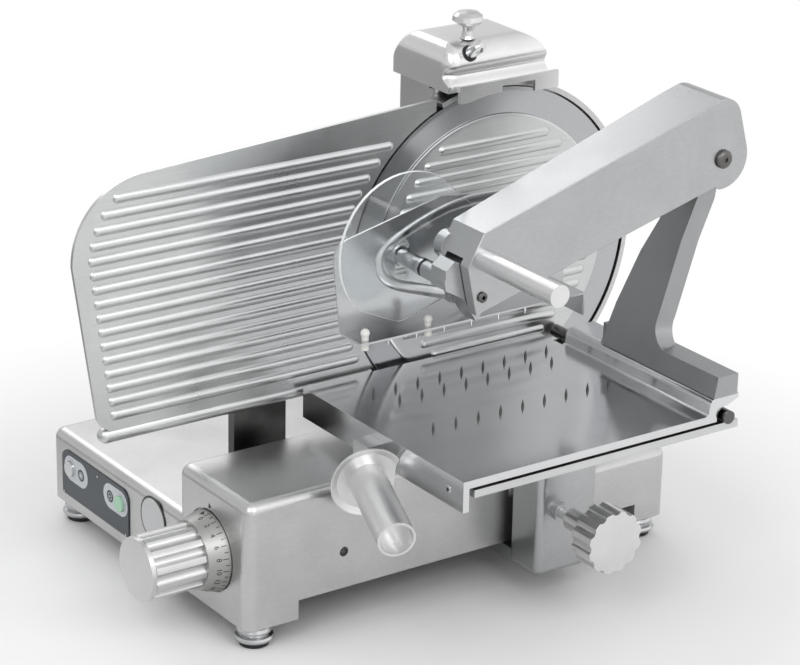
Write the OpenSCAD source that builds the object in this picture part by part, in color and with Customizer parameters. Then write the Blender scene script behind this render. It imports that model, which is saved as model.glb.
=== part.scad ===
// Vertical food slicer with a sliding carriage, a spiked product plate and a swinging press arm.
// Built about the blade: X runs along the blade's face, Y away from the operator, Z up.

/* [Blade] */
// Radius of the round blade
blade_r = 175; // [165:1:180]
// Thickness of the blade behind its cutting plane
blade_t = 6; // [5:0.5:8]
// Width of the blade left bare outside its cover
blade_bare = 28.4; // [20:0.2:36]
// Height of the blade's axis above the table
axis_h = 309; // [303:1:325]
// Radius of the hollow blade spindle
spindle_r = 12.5; // [11:0.5:14]
// Bore of the hollow blade spindle
spindle_bore_r = 5.5; // [4.5:0.25:7]
// Outer radius of the two spindle bearings
bearing_r = 23.5; // [20:0.5:26]
// Width of one spindle bearing
bearing_w = 12; // [9:1:14]

/* [Blade cover and guard] */
// Thickness of the cover plate in front of the blade
cover_t = 2.5; // [2:0.25:4]
// Gap from the blade's edge to the fixed ring guard
ring_gap = 2; // [1.5:0.25:4]
// Radial width of the ring guard
ring_w = 5.5; // [4:0.5:10]
// Radius of the cover tie rod
tie_rod_r = 5; // [3.5:0.25:6]
// Radius of the knob that frees the blade cover
release_knob_r = 20; // [14:1:24]

/* [Ribs] */
// Distance from one rib to the next
rib_pitch = 14.77; // [12:0.25:20]
// Number of ribs on the gauge plate
rib_count = 16; // [8:1:16]
// Height of the top rib above the blade's axis
rib_top = 133.7; // [120:0.1:140]
// Height of a rib over the plate
rib_h = 3; // [1.5:0.25:4]

/* [Gauge plate] */
// Distance from the blade axis to the gauge plate's left end
gauge_left = 493; // [420:1:520]
// Distance from the blade axis down to the gauge plate's flat lower edge
gauge_drop = 102.4; // [98:0.2:105]
// Distance from the blade axis to the gauge plate's right tip
gauge_tip = 73; // [66:1:90]
// Height of the right tip above the blade's axis
gauge_tip_h = 174; // [168:1:178]
// Height of the upper left corner above the blade's axis
gauge_corner_h = 154; // [140:1:160]
// Radius of the upper left corner
gauge_corner_r = 82; // [40:1:90]
// Thickness of the gauge plate
gauge_t = 4; // [3:0.25:6]
// Gap between the blade's edge and the gauge plate
gauge_gap = 2.5; // [2:0.25:5]
// Furthest that the gauge plate opens behind the cutting plane
gauge_open = 15; // [8:1:18]
// Width of the gauge plate's support bar
support_w = 62; // [40:1:80]
// Depth of the gauge plate's support bar
support_t = 11; // [8:0.5:16]
// Distance from the blade axis to the middle of the support bar
support_x = 274; // [255:1:285]

/* [Base] */
// Distance from the blade axis to the base's left end
base_left = 384; // [375:1:400]
// Distance from the blade axis to the base's right end
base_right = 142; // [138:1:170]
// Distance from the cutting plane to the base's front face
base_front = 137; // [133:1:140]
// Distance from the cutting plane to the base's rear face
base_back = 257; // [240:1:280]
// Height of the low part of the base above the table
low_top_h = 103.5; // [101:0.5:106]
// Height of the raised part of the base above the table
housing_top_h = 159; // [150:1:162]
// Distance from the blade axis to the right end of the raised part
housing_right = 60; // [40:1:90]
// Distance from the cutting plane to the rear face of the raised part
housing_back = 6.5; // [6:0.5:10]
// Height of the raised lower edge, front and rear, above the table
edge_h = 44.5; // [43:0.5:47]
// Length of the left corner block under the raised edge
block_left = 60; // [50:1:64]
// Length of the right corner block under the raised edge
block_right = 42; // [38:1:60]
// Wall thickness of the base casting
base_wall = 5; // [4:0.25:5.5]
// Radius of the base casting's corners and upper edges
base_round = 12; // [8:1:16]
// Thickness of the sheet that closes the base below
bottom_t = 2; // [1.5:0.25:3]
// Radius of the oil hole in the front face
oil_hole_r = 5; // [3:0.25:6]

/* [Feet] */
// Height of a foot with its rubber pad
foot_h = 24; // [21:0.5:28]
// Radius of a foot
foot_r = 20; // [16:0.5:22]
// Distance of a foot's axis from the end and the face of the base
foot_inset = 22; // [20:0.5:26]
// Thickness of the rubber pad under a foot
pad_h = 5; // [3:0.5:8]
// Radius of the stud that holds a foot
foot_stud_r = 5; // [4:0.5:6]

/* [Controls] */
// Length of the control panel
panel_l = 141; // [130:1:150]
// Height of the control panel
panel_h = 52; // [46:1:56]
// Distance from the cutting plane to the control panel's near end
panel_y = 91.5; // [85:1:105]
// Radius of a push button
button_r = 8.5; // [6:0.5:11]
// Travel of a push button
button_travel = 2.5; // [1:0.25:3.5]

/* [Thickness knob] */
// Radius of the graduated dial at the wall
dial_r = 41.5; // [36:0.5:44]
// Length of the graduated dial
dial_l = 25; // [18:1:30]
// Radius of the fluted knob
knob_r = 33.5; // [28:0.5:35]
// Length of the fluted knob
knob_l = 61; // [45:1:75]
// Number of flutes round the knob
knob_flutes = 12; // [8:1:16]
// Distance from the cutting plane to the knob's axis
knob_y = 68; // [66:1:72]
// Height of the knob's axis above the table
knob_h = 87; // [85:1:90]
// Radius of the knob's shaft
knob_shaft_r = 7; // [5:0.5:9]
// Smallest radius of the scroll cam
cam_r = 16; // [13:0.5:18]
// Turn of the knob from closed to fully open, in degrees
knob_turn = 300; // [240:10:330]

/* [Carriage] */
// Width of the carriage column
column_w = 74; // [64:1:76]
// Depth of the carriage column
column_d = 50; // [40:1:60]
// Gap between the base's front face and the column
column_gap = 9; // [7:0.5:12]
// Distance from the blade axis to the column's left face
column_x = 74; // [70:1:78]
// Height of the column's lower end above the table
column_h = 27; // [22:0.5:29]
// Thickness of the arm that passes under the base
under_arm_t = 14; // [10:0.5:14.5]
// Radius of the two carriage guide bars
bar_r = 8; // [6:0.5:8.5]
// Distance from the base's front wall to the guide bars
bar_inset = 13; // [12.5:0.25:14]
// Height of the lower guide bar above the table
bar_low_h = 60; // [58.5:0.5:62]
// Distance between the two guide bars
bar_spread = 24; // [22:0.5:26]
// Clearance of sliding and running fits
fit = 0.05; // [0.02:0.01:0.09]
// Radius of the lock knob
lock_r = 33; // [25:1:36]
// Thickness of the lock knob
lock_t = 30; // [22:1:36]
// Length of the lock knob's bare shaft
lock_neck = 60; // [40:1:70]

/* [Plates] */
// Distance from the blade axis to the product plate's left face
plate_left = 236.8; // [225:0.5:250]
// Distance from the cutting plane to the product plate's front edge
plate_front = 286; // [270:1:300]
// Gap between the cutting plane and the product plate
plate_gap = 8; // [7:0.5:12]
// Thickness of the product plate
plate_t = 8; // [6:0.5:9]
// Height of the product plate's left flange
plate_flange = 32; // [24:1:34]
// Thickness of the lower plate
lower_t = 8; // [6:0.5:9]
// Gap between the product plate and the lower plate
glide_gap = 3; // [2:0.25:4]
// Radius of the guide rod of the product plate
rod_r = 7; // [6:0.25:8]
// Distance from the blade axis to the guide rod
rod_x = 86; // [84:0.5:88]
// Wall of the open bushes on the guide rod
bush_wall = 4; // [3:0.25:4.5]
// Travel of the product plate away from the blade
plate_travel = 140; // [60:5:150]
// Radius of a spike at its root
spike_r = 1.6; // [1:0.1:2.5]
// Height of a spike
spike_h = 8; // [5:0.5:10]

/* [Plate handle] */
// Radius of the handle grip
handle_r = 19; // [15:0.5:22]
// Wall round the recess in the end of the handle grip
handle_wall = 2.5; // [1.5:0.25:4]
// Length of the handle grip
handle_l = 107; // [80:1:120]
// Radius of the round hand guard
disc_r = 38; // [30:1:42]

/* [Press arm] */
// Distance from the blade axis to the arm's pivot
pivot_x = 125; // [120:1:132]
// Height of the arm's pivot above the blade's axis
pivot_h = 137; // [130:1:142]
// Distance from the cutting plane to the arm's front face
arm_front = 215; // [210:1:222]
// Width of the arm at its free end
arm_w = 50; // [46:1:52]
// Distance from the cutting plane to the arm's rear face at the pivot
arm_back = 147; // [144:1:152]
// Wall of the hollow arm
arm_wall = 6; // [4:0.5:7]
// Distance from the pivot to the arm's free end
arm_reach = 295; // [280:1:305]
// Radius of the pivot pin
pivot_r = 8; // [6:0.5:9]
// Thickness of the post
post_t = 23; // [18:0.5:26]
// Radius of the arm's handle
grip_r = 11; // [9:0.5:13]
// Length of the arm's handle
grip_l = 118; // [80:1:130]

/* [Press plate] */
// Distance from the cutting plane to the press plate
press_y = 115; // [105:1:120]
// Thickness of the press plate
press_t = 2; // [1.5:0.25:3]
// Width of the press plate's lower flange
press_flange = 36; // [25:1:40]
// Length of the press plate
press_l = 272; // [240:1:280]
// Radius of the clamping stud
stud_r = 5; // [4:0.5:6]
// Radius of the clear hand guard
guard_r = 76; // [60:1:80]
// Thickness of the clear hand guard
guard_t = 4; // [3:0.5:6]

/* [Sharpener] */
// Distance from the blade axis to the hood's left face
hood_left = 66; // [60:1:70]
// Distance from the blade axis to the hood's right face
hood_right = 60; // [56:1:66]
// Height of the hood's top above the blade's edge
hood_top = 54; // [51:1:61]
// Distance from the cutting plane to the hood's front face
hood_front = 10; // [9:0.5:12]
// Distance from the cutting plane to the hood's rear face
hood_back = 88; // [84:1:100]
// Wall of the hood
hood_wall = 3; // [2:0.25:4]
// Radius of a sharpening stone
stone_r = 14; // [11:0.5:15]
// Thickness of a sharpening stone
stone_t = 10; // [7:0.5:11]
// Radius of the clamping knob on the hood
top_knob_r = 16; // [12:0.5:18]
// Travel of the sharpening button
sharpen_travel = 5; // [2:0.5:6]

/* [Drive] */
// Radius of the blade's belt pulley
big_pulley_r = 55; // [48:1:58]
// Radius of the motor's belt pulley
small_pulley_r = 18; // [14:1:20]
// Width of the two pulleys
pulley_w = 18; // [14:1:20]
// Distance between the two pulley axes
belt_centres = 128; // [122:1:130]
// Thickness of the belt
belt_t = 3; // [2:0.25:4]
// Radius of the motor
motor_r = 50; // [44:1:52]
// Length of the motor
motor_l = 112; // [90:1:125]
// Radius of the motor's shaft
motor_shaft_r = 7; // [5:0.5:8]

/* [Hidden] */

$fn = 48;
tiny = 0.01;
seat = 0.3;

// Levels above the table, taken to the blade's axis
table_z = -axis_h;
foot_z = table_z + foot_h;
edge_z = table_z + edge_h;
low_top_z = table_z + low_top_h;
housing_top_z = table_z + housing_top_h;
knob_z = table_z + knob_h;
column_z = table_z + column_h;
bar_low_z = table_z + bar_low_h;
bar_high_z = bar_low_z + bar_spread;
bar_y = -base_front + base_wall + bar_inset;

// Blade and drive, along the spindle
cover_r = blade_r - blade_bare;
hub_flange_r = 45;
hub_flange_t = 6;
hub_y = blade_t;
column_y = hub_y + hub_flange_t + 8;
bearing_gap = 4;
hub_back_y = column_y + 2 * bearing_w + bearing_gap + 2;
pulley_y = hub_back_y + 3;
column_back_y = pulley_y + pulley_w + 5;
motor_z = -belt_centres;
motor_plate_t = 6;
motor_y = column_back_y + motor_plate_t;
cover_wall = 3;
motor_cover_back = motor_y + motor_l + 14;
chamber_r = big_pulley_r + belt_t + 6;
drum_r = chamber_r + 6;
column_half = motor_r + 14;
lid_t = 3;
lid_y = column_back_y;
ring_r = blade_r + ring_gap;
ring_outer_r = ring_r + ring_w;

// Gauge plate
gauge_r = blade_r + gauge_gap;
gauge_lean = 23;
gauge_corner_x = -gauge_left + gauge_corner_r;
gauge_corner_z = gauge_corner_h - gauge_corner_r;
gauge_foot_r = 18;
bead_r = 8;
bead_z = -gauge_drop - bead_r + 1;
support_y = 14.5;
support_top_z = bead_z + bead_r;
slide_r = 9;
follower_r = 6;
follower_y = -knob_y + cam_r + follower_r + 0.3;
slide_back_y = 66;

// Base
base_l = base_left + base_right;
foot_xs = [-base_left + foot_inset, base_right - foot_inset];
foot_ys = [-base_front + foot_inset, base_back - foot_inset];
corner_pad = foot_inset + foot_r - 2;
corner_pad_h = 20;
bottom_z = edge_z;
button_h = 70;
button_z = table_z + button_h;
stop_y = panel_y + panel_l - 20;
start_y = panel_y + 15;
panel_t = 1.5;
button_out = button_travel + 1.5;
panel_top_h = 88;
dial_recess = 3;
dial_gap = 1.5;
dial_boss_r = dial_r + dial_gap + 4;

// Carriage
column_y0 = -base_front - column_gap;
column_y1 = column_y0 - column_d;
block_margin = 10;
block_y1 = bar_y + bar_r + 4;
block_y0 = -base_front + base_wall + 1;
block_z0 = column_z + under_arm_t;
block_z1 = bar_high_z + bar_r + 5;
bush_r = bar_r + 2.5;
plate_z = -gauge_drop;
lower_z1 = plate_z - plate_t - glide_gap;
lower_z0 = lower_z1 - lower_t;
lower_right = rod_x + 17;
rod_z = lower_z1 + rod_r + 0.4;
rod_back = -plate_gap + 1;
rod_front = plate_front + 6;
bush_r_out = rod_r + bush_wall;
hook_top_z = rod_z + bush_r_out + 11;
hook_left = rod_x - bush_r_out - 10;
hook_right = rod_x + 16;
hook_back = 52;
lock_x = -48;
lock_z = table_z + 96;
lock_shank_r = 6;

// Post and arm
arm_y0 = -arm_front;
arm_y1 = arm_y0 + arm_w;
arm_tilt = 16;
post_x = rod_x - 18;
foot_top = 22;
post_lean = atan2(pivot_x - post_x - post_t / 2 - 6, pivot_h - hook_top_z);
post_y0 = arm_y0 + arm_wall + 2;
post_y1 = -arm_back - arm_wall - 4;
arm_end_r = 32;

// Press head, stud and guard
pin_drop = 7.687;
head_pin_x = pivot_x - arm_reach + 1;
head_pin_z = pivot_h - arm_reach * sin(arm_tilt) - pin_drop;
head_pin_r = 4;
head_y0 = arm_y0 + 14;
head_w = 24;
stud_x = head_pin_x - 25;
stud_z = head_pin_z + 16;
grip_z = head_pin_z + 38;
press_x0 = stud_x - 70;
press_z0 = stud_z - 68;
guard_y = -press_y - 35;

// Sharpener
stone_z = ring_outer_r + stone_r + 2;
grind_x = -40;
hone_x = 16;
stone_y = column_y - stone_t - 1;
hood_low_z = blade_r + 6;
hood_top_z = blade_r + hood_top;
hood_front_r = 22;
hood_rear_r = 30;
bracket_z1 = hood_low_z + 9;
carrier_y = 40;
top_knob_x = -28;
top_knob_y = -hood_front + hood_front_r;
sharpen_tilt = 33;
sharpen_r = 6.5;
sharpen_x = -38;

// The whole machine stands with its box centred over the origin, on the table.
right_end = max(ring_outer_r, pivot_x + arm_end_r);
front_end = arm_front + grip_l;
gland_l = 12;
back_end = base_back + gland_l;
shift_x = (gauge_left - right_end) / 2;
shift_y = (front_end - back_end) / 2;

module machine() {
    translate([shift_x, shift_y, axis_h]) children();
}

// An outline drawn in X and Z, thick from y0 to y0 + t.
module plane_xz(y0, t) {
    translate([0, y0 + t, 0]) rotate([90, 0, 0]) linear_extrude(t) children();
}

// An outline drawn in Y and Z, thick from x0 to x0 + t.
module plane_yz(x0, t) {
    translate([x0, 0, 0]) rotate([90, 0, 90]) linear_extrude(t) children();
}

// A cylinder along Y from y0, or along X from x0, through the point given by the other two.
module rod_y(x, y0, z, r, l) {
    translate([x, y0, z]) rotate([-90, 0, 0]) cylinder(r = r, h = l);
}

module rod_x(x0, y, z, r, l) {
    translate([x0, y, z]) rotate([0, 90, 0]) cylinder(r = r, h = l);
}

module block(lo, hi) {
    translate(lo) cube(hi - lo);
}

// A block with round upright corners and a round upper edge.
module soft_block(lo, hi, r) {
    xs = [lo.x + r, hi.x - r];
    ys = [lo.y + r, hi.y - r];
    hull() for (x = xs, y = ys) {
        translate([x, y, hi.z - r]) sphere(r = r, $fn = 32);
        translate([x, y, lo.z]) cylinder(r = r, h = 1, $fn = 32);
    }
}

// Points on an arc about c, from angle a0 to a1.
function arc(c, r, a0, a1, n) =
    [for (i = [0:n]) c + r * [cos(a0 + (a1 - a0) * i / n), sin(a0 + (a1 - a0) * i / n)]];

// One raised rib along X with round ends, standing out of a face at y0 towards the front.
module rib(xa, xb, z, y0) {
    rib_r = 6;
    root = 1.5;
    axis_y = y0 + rib_r - rib_h;
    difference() {
        union() {
            rod_x(xa, axis_y, z, rib_r, xb - xa);
            for (x = [xa, xb]) translate([x, axis_y, z]) sphere(r = rib_r);
        }
        block([xa - 2 * rib_r, y0 + root, z - 2 * rib_r], [xb + 2 * rib_r, y0 + 2 * rib_r, z + 2 * rib_r]);
    }
}

// A round rim with scooped flutes.
module fluted_outline(r, flutes, depth, scoop) {
    difference() {
        circle(r = r);
        for (i = [0:flutes - 1]) rotate(i * 360 / flutes) translate([r + scoop - depth, 0]) circle(r = scoop);
    }
}

// BASE

// Cast shell: a low box with a raised housing at its front left, open below.
module base_casting() {
    w = base_wall;
    inner_z = low_top_z - w;
    color("silver") machine() difference() {
        union() {
            difference() {
                union() {
                    soft_block([-base_left, -base_front, foot_z], [base_right, base_back, low_top_z], base_round);
                    soft_block([-base_left, -base_front, foot_z], [-housing_right, -housing_back, housing_top_z],
                        base_round);
                }
                block([-base_left + w, -base_front + w, foot_z - 1], [base_right - w, base_back - w, inner_z]);
                block([-base_left + w, -base_front + w, foot_z], [-housing_right - w, -housing_back - w,
                    housing_top_z - w]);
            }
            // Solid corners for the feet
            for (x = [-base_left, base_right - corner_pad], y = [-base_front, base_back - corner_pad])
                intersection() {
                    block([x, y, foot_z], [x + corner_pad, y + corner_pad, foot_z + corner_pad_h]);
                    soft_block([-base_left, -base_front, foot_z], [base_right, base_back, low_top_z], base_round);
                }
            // Sockets for the guide bars
            for (z = [bar_low_z, bar_high_z]) {
                rod_x(-base_left + w - 1, bar_y, z, bar_r + 3, 9);
                rod_x(base_right - w - 8, bar_y, z, bar_r + 3, 9);
            }
            rod_x(-base_left + w - 1, -knob_y, knob_z, dial_boss_r, 7);
        }
        // Raised lower edge between the corner blocks, front and rear
        block([-base_left + block_left, -base_front - 1, foot_z - 1],
            [base_right - block_right, base_back + 1, edge_z]);
        for (z = [bar_low_z, bar_high_z])
            rod_x(-base_left + w - 1, bar_y, z, bar_r + fit, base_l - 2 * w + 2);
        rod_x(-base_left - 1, -knob_y, knob_z, dial_r + dial_gap, dial_recess + 1);
        rod_x(-base_left - 1, -knob_y, knob_z, knob_shaft_r + fit, 20);
        rod_y(-271, -base_front - 1, bar_high_z, oil_hole_r, w + 2);
        for (x = foot_xs, y = foot_ys)
            translate([x, y, foot_z - 1]) cylinder(r = foot_stud_r, h = 17);
        // Slot for the gauge support, which moves with the gauge plate
        block([-support_x - support_w / 2 - 2, support_y - 2, inner_z - 1],
            [-support_x + support_w / 2 + 2, support_y + support_t + gauge_open + 2, low_top_z + 1]);
        for (y = [stop_y, start_y]) rod_x(-base_left - 1, y, button_z, button_r + 0.5, w + 2);
        rod_y(base_right - 60, base_back - w - 1, table_z + 74, 8, w + 2);
    }
}

// Sheet that closes the base behind the carriage's guide bars, notched round the dial's boss.
module bottom_plate() {
    front_y = block_y1 + 40;
    color("gray") machine() difference() {
        block([-base_left + base_wall + seat, front_y, bottom_z],
            [base_right - base_wall - seat, base_back - base_wall - seat, bottom_z + bottom_t]);
        rod_x(-base_left, -knob_y, knob_z, dial_boss_r + seat, 15);
    }
}

// A foot: a threaded stud with a stepped round body.
module feet() {
    top = foot_h - pad_h;
    profile = [[0, 0], [foot_r - 3, 0], [foot_r - 1, 1], [foot_r, 3.5], [foot_r - 1, 6], [foot_r - 4, 7.5],
        [foot_r - 3, 9], [foot_r - 2.5, 11.5], [foot_r - 4, top - 4.5], [foot_r - 7, top - 2],
        [foot_r - 7, top], [foot_stud_r - fit, top], [foot_stud_r - fit, top + 15], [0, top + 15]];
    color("lightgray") machine() for (x = foot_xs, y = foot_ys)
        translate([x, y, table_z + pad_h]) rotate_extrude() polygon(profile);
}

module foot_pads() {
    color("dimgray") machine() for (x = foot_xs, y = foot_ys)
        translate([x, y, table_z]) cylinder(r1 = foot_r - 5, r2 = foot_r - 3.5, h = pad_h, $fn = 64);
}

module control_panel() {
    top_z = table_z + panel_top_h;
    r = 12;
    color("darkslategray") machine() difference() {
        plane_yz(-base_left - panel_t, panel_t) union() {
            translate([panel_y, top_z - panel_h]) square([panel_l, panel_h - r]);
            translate([panel_y + r, top_z - r]) square([panel_l - 2 * r, r]);
            for (y = [panel_y + r, panel_y + panel_l - r]) translate([y, top_z - r]) circle(r = r);
        }
        for (y = [stop_y, start_y])
            rod_x(-base_left - 3, y, button_z, button_r + 0.3, 6);
    }
}

module push_button(y) {
    collar = 1.5;
    machine() union() {
        rod_x(-base_left - panel_t - button_out, y, button_z, button_r, button_out + panel_t + base_wall + 1);
        rod_x(-base_left + base_wall + seat, y, button_z, button_r + collar, 2);
    }
}

module stop_button() {
    color("white") push_button(stop_y);
}

module start_button() {
    color("mediumseagreen") push_button(start_y);
}

// Board with the relay and the motor capacitor, on pillars from the bottom plate.
module circuit_board() {
    x0 = -base_left + 40;
    z0 = bottom_z + bottom_t;
    pillar_h = 8;
    color("darkgreen") machine() union() {
        block([x0, 110, z0 + pillar_h], [x0 + 90, 210, z0 + pillar_h + 1.6]);
        for (x = [x0 + 6, x0 + 84], y = [116, 204]) translate([x, y, z0]) cylinder(r = 3, h = pillar_h + 1);
        block([x0 + 10, 150, z0 + pillar_h + 1], [x0 + 38, 170, z0 + pillar_h + 18]);
        rod_y(x0 + 66, 125, z0 + pillar_h + 17, 16, 60);
    }
}

module cable_gland() {
    color("black") machine() difference() {
        union() {
            rod_y(base_right - 60, base_back - base_wall - 8, table_z + 74, 7.9, 20);
            rod_y(base_right - 60, base_back, table_z + 74, 12, gland_l / 2);
            rod_y(base_right - 60, base_back + gland_l / 2 - tiny, table_z + 74, 10, gland_l / 2 + tiny);
        }
        rod_y(base_right - 60, base_back - base_wall - 9, table_z + 74, 4, 40);
    }
}

module guide_bars() {
    color("slategray") machine() for (z = [bar_low_z, bar_high_z])
        rod_x(-base_left + base_wall - 0.8, bar_y, z, bar_r, base_l - 2 * base_wall + 1.6);
}

// BLADE COLUMN AND DRIVE

// A loop round two circles and along their common outer tangents, in the plane of the belt.
module belt_outline(ra, rb) {
    a = asin((ra - rb) / belt_centres);
    polygon(concat(arc([0, 0], ra, -a, 180 + a, 30), arc([0, motor_z], rb, 180 + a, 360 - a, 16)));
}

// Casting that carries the spindle in front and holds the belt in a chamber open to the rear.
module blade_column() {
    chamber_y = pulley_y - 2;
    color("gainsboro") machine() difference() {
        union() {
            rod_y(0, column_y, 0, drum_r, column_back_y - column_y);
            block([-column_half, column_y, low_top_z], [column_half, column_back_y, -10]);
        }
        rod_y(0, column_y - 1, 0, spindle_r + 6, hub_back_y - column_y + 2);
        rod_y(0, column_y + 2, 0, bearing_r, 2 * bearing_w + bearing_gap + 6);
        plane_xz(chamber_y, column_back_y) belt_outline(chamber_r, small_pulley_r + belt_t + 8);
        // Pocket under the chamber, which keeps the casting light
        block([-column_half + 8, chamber_y, low_top_z + 8], [column_half - 8, column_back_y + 1, motor_z - 34]);
    }
}

module spindle_bearings() {
    color("lightsteelblue") machine() for (y = [column_y + 2.5, column_y + 2.5 + bearing_w + bearing_gap])
        difference() {
            rod_y(0, y, 0, bearing_r - fit, bearing_w);
            rod_y(0, y - 1, 0, spindle_r + fit, bearing_w + 2);
        }
}

module blade_spindle() {
    color("lightgray") machine() difference() {
        union() {
            rod_y(0, hub_y + 0.2, 0, hub_flange_r, hub_flange_t - 0.2);
            rod_y(0, hub_y + 1, 0, spindle_r + 4, column_y - hub_y - 1);
            rod_y(0, hub_y + 1, 0, spindle_r, pulley_y + pulley_w - hub_y);
        }
        rod_y(0, -1, 0, spindle_bore_r, 200);
        for (i = [0:3]) rotate([0, i * 90 + 45, 0]) rod_y(32, 0, 0, 3.5, 40);
    }
}

// Round steel blade: flat edge plane in front, dished inside, bevelled behind.
module blade() {
    color("lightsteelblue") machine() difference() {
        rotate([-90, 0, 0]) rotate_extrude($fn = 120) polygon([[15, 1.5], [cover_r - 6, 1.5], [cover_r, 1],
            [blade_r - 4, 0], [blade_r, 0], [blade_r, 0.4], [blade_r - 7, blade_t - 1.5],
            [cover_r - 6, blade_t], [15, blade_t]]);
        for (i = [0:3]) rotate([0, i * 90 + 45, 0]) rod_y(32, -1, 0, 3.5, 20);
    }
}

module blade_screws() {
    color("dimgray") machine() for (i = [0:3]) rotate([0, i * 90 + 45, 0]) union() {
        rod_y(32, hub_y + hub_flange_t + 0.1, 0, 6, 3);
        rod_y(32, 2, 0, 3.5 - fit, hub_y + hub_flange_t - 1.9);
    }
}

module blade_pulley() {
    color("darkgray") machine() difference() {
        rod_y(0, pulley_y, 0, big_pulley_r, pulley_w);
        rod_y(0, pulley_y - 1, 0, spindle_r + fit, pulley_w + 2);
        for (i = [0:4]) rotate([0, i * 72, 0]) rod_y((big_pulley_r + spindle_r) / 2, pulley_y - 1, 0, 11, pulley_w + 2);
    }
}

module drive_belt() {
    ra = big_pulley_r + seat;
    rb = small_pulley_r + seat;
    color("black") machine() plane_xz(pulley_y + 2, pulley_w - 4) difference() {
        belt_outline(ra + belt_t, rb + belt_t);
        belt_outline(ra, rb);
    }
}

module motor_pulley() {
    color("darkgray") machine() difference() {
        rod_y(0, pulley_y, motor_z, small_pulley_r, pulley_w);
        rod_y(0, pulley_y - 1, motor_z, motor_shaft_r + fit, pulley_w + 2);
    }
}

module motor_shaft() {
    color("lightgray") machine() union() {
        rod_y(0, pulley_y, motor_z, motor_shaft_r, motor_y - pulley_y + motor_l - 10);
        rod_y(0, motor_y + 14, motor_z, motor_r - 16, motor_l - 34);
    }
}

// Stator can with its square mounting plate, screwed to the column's rear rim.
module motor_housing() {
    color("slategray") machine() difference() {
        union() {
            block([-column_half + 1, column_back_y, low_top_z + 1], [column_half - 1, motor_y, motor_z + motor_r]);
            rod_y(0, motor_y - 1, motor_z, motor_r, motor_l + 1);
        }
        rod_y(0, motor_y + 12, motor_z, motor_r - 6, motor_l - 30);
        rod_y(0, column_back_y - 1, motor_z, motor_shaft_r + fit, motor_l - 1);
        rod_y(0, column_back_y - 1, 0, drum_r + 1, 20);
    }
}

// Lid over the blade's pulley and hood over the motor, one sheet part.
module motor_cover() {
    top_z = motor_z + motor_r + 8;
    x1 = column_half + cover_wall;
    color("whitesmoke") machine() difference() {
        union() {
            rod_y(0, lid_y, 0, drum_r, lid_t);
            difference() {
                soft_block([-x1, lid_y, low_top_z], [x1, motor_cover_back, top_z + cover_wall], 8);
                block([-column_half, lid_y - 1, low_top_z - 1], [column_half, motor_cover_back - cover_wall, top_z]);
            }
        }
        rod_y(0, lid_y - 1, 0, tie_rod_r + 2, 40);
        block([-column_half, lid_y - 1, low_top_z - 1], [column_half, motor_y + 0.3, top_z]);
    }
}

// BLADE COVER AND ITS RELEASE

module blade_cover() {
    face_y = -cover_t;
    boss_r = 13;
    edge = 10;
    color("silver") machine() difference() {
        union() {
            rotate([-90, 0, 0]) rotate_extrude($fn = 120) polygon([[0, face_y], [cover_r - 3, face_y],
                [cover_r, face_y + 1], [cover_r, 0.3], [cover_r - 4, 0.8], [0, 0.8]]);
            rod_y(0, 0, 0, boss_r, hub_y - 0.2);
            for (i = [1:rib_count - 2]) {
                z = rib_top - i * rib_pitch;
                if (abs(z) < cover_r - 25) {
                    half = sqrt(pow(cover_r, 2) - pow(z, 2)) - edge - 10;
                    rib(-half, half, z, face_y);
                }
            }
        }
        rod_y(0, 0.5, 0, tie_rod_r + fit, 20);
    }
}

module cover_tie_rod() {
    start = 0.8;
    color("lightgray") machine() rod_y(0, start, 0, tie_rod_r, lid_y + lid_t + 24 - start);
}

module cover_release_knob() {
    y0 = lid_y + lid_t + seat;
    color("black") machine() difference() {
        union() {
            rod_y(0, y0, 0, 11, 8);
            plane_xz(y0 + 7, 18) fluted_outline(release_knob_r, 8, 3, 6);
        }
        rod_y(0, y0 - 1, 0, tie_rod_r + fit, lid_t + 22);
    }
}

// Fixed disc behind the blade, with a rim round the edge where the gauge plate doesn't stand.
module ring_guard() {
    from = 112;
    to = -138;
    disc_t = 4.5;
    hole_r = spindle_r + 12;
    color("gainsboro") machine() rotate([-90, 0, 0]) union() {
        rotate([0, 0, -from]) rotate_extrude(angle = from - to, $fn = 120)
            translate([ring_r, -2.5]) square([ring_w, column_y + 2.5]);
        rotate_extrude($fn = 120) translate([hole_r, column_y - disc_t]) square([ring_r - hole_r + tiny, disc_t]);
    }
}

// SHARPENER

module sharpener_bracket() {
    low_z = blade_r - 60;
    head_room = 0.9;
    tongue_z1 = hood_top_z - hood_wall - head_room;
    tongue_z0 = tongue_z1 - 4.2;
    gap = hood_wall + seat;
    color("gainsboro") machine() difference() {
        union() {
            soft_block([-hood_left + gap, column_y, low_z], [hood_right - gap, hood_back - gap, bracket_z1], 8);
            // Carrier of the stones, with a tongue that takes the hood's clamping screw
            block([grind_x - 16, carrier_y, bracket_z1 - 10], [hone_x + 16, carrier_y + 22, tongue_z1]);
            block([top_knob_x - 10, top_knob_y - 5, tongue_z0], [top_knob_x + 10, carrier_y + 5, tongue_z1]);
        }
        for (x = [grind_x, hone_x]) rod_y(x, carrier_y - 1, stone_z, 5 + fit, 30);
        translate([top_knob_x, top_knob_y, tongue_z0 - 1]) cylinder(r = 4 + fit, h = 10);
        // Room for the stones and the ring guard's rim
        block([-hood_left, column_y - 1, bracket_z1 - 12], [hood_right, column_y + 8, bracket_z1 + 1]);
    }
}

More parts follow.
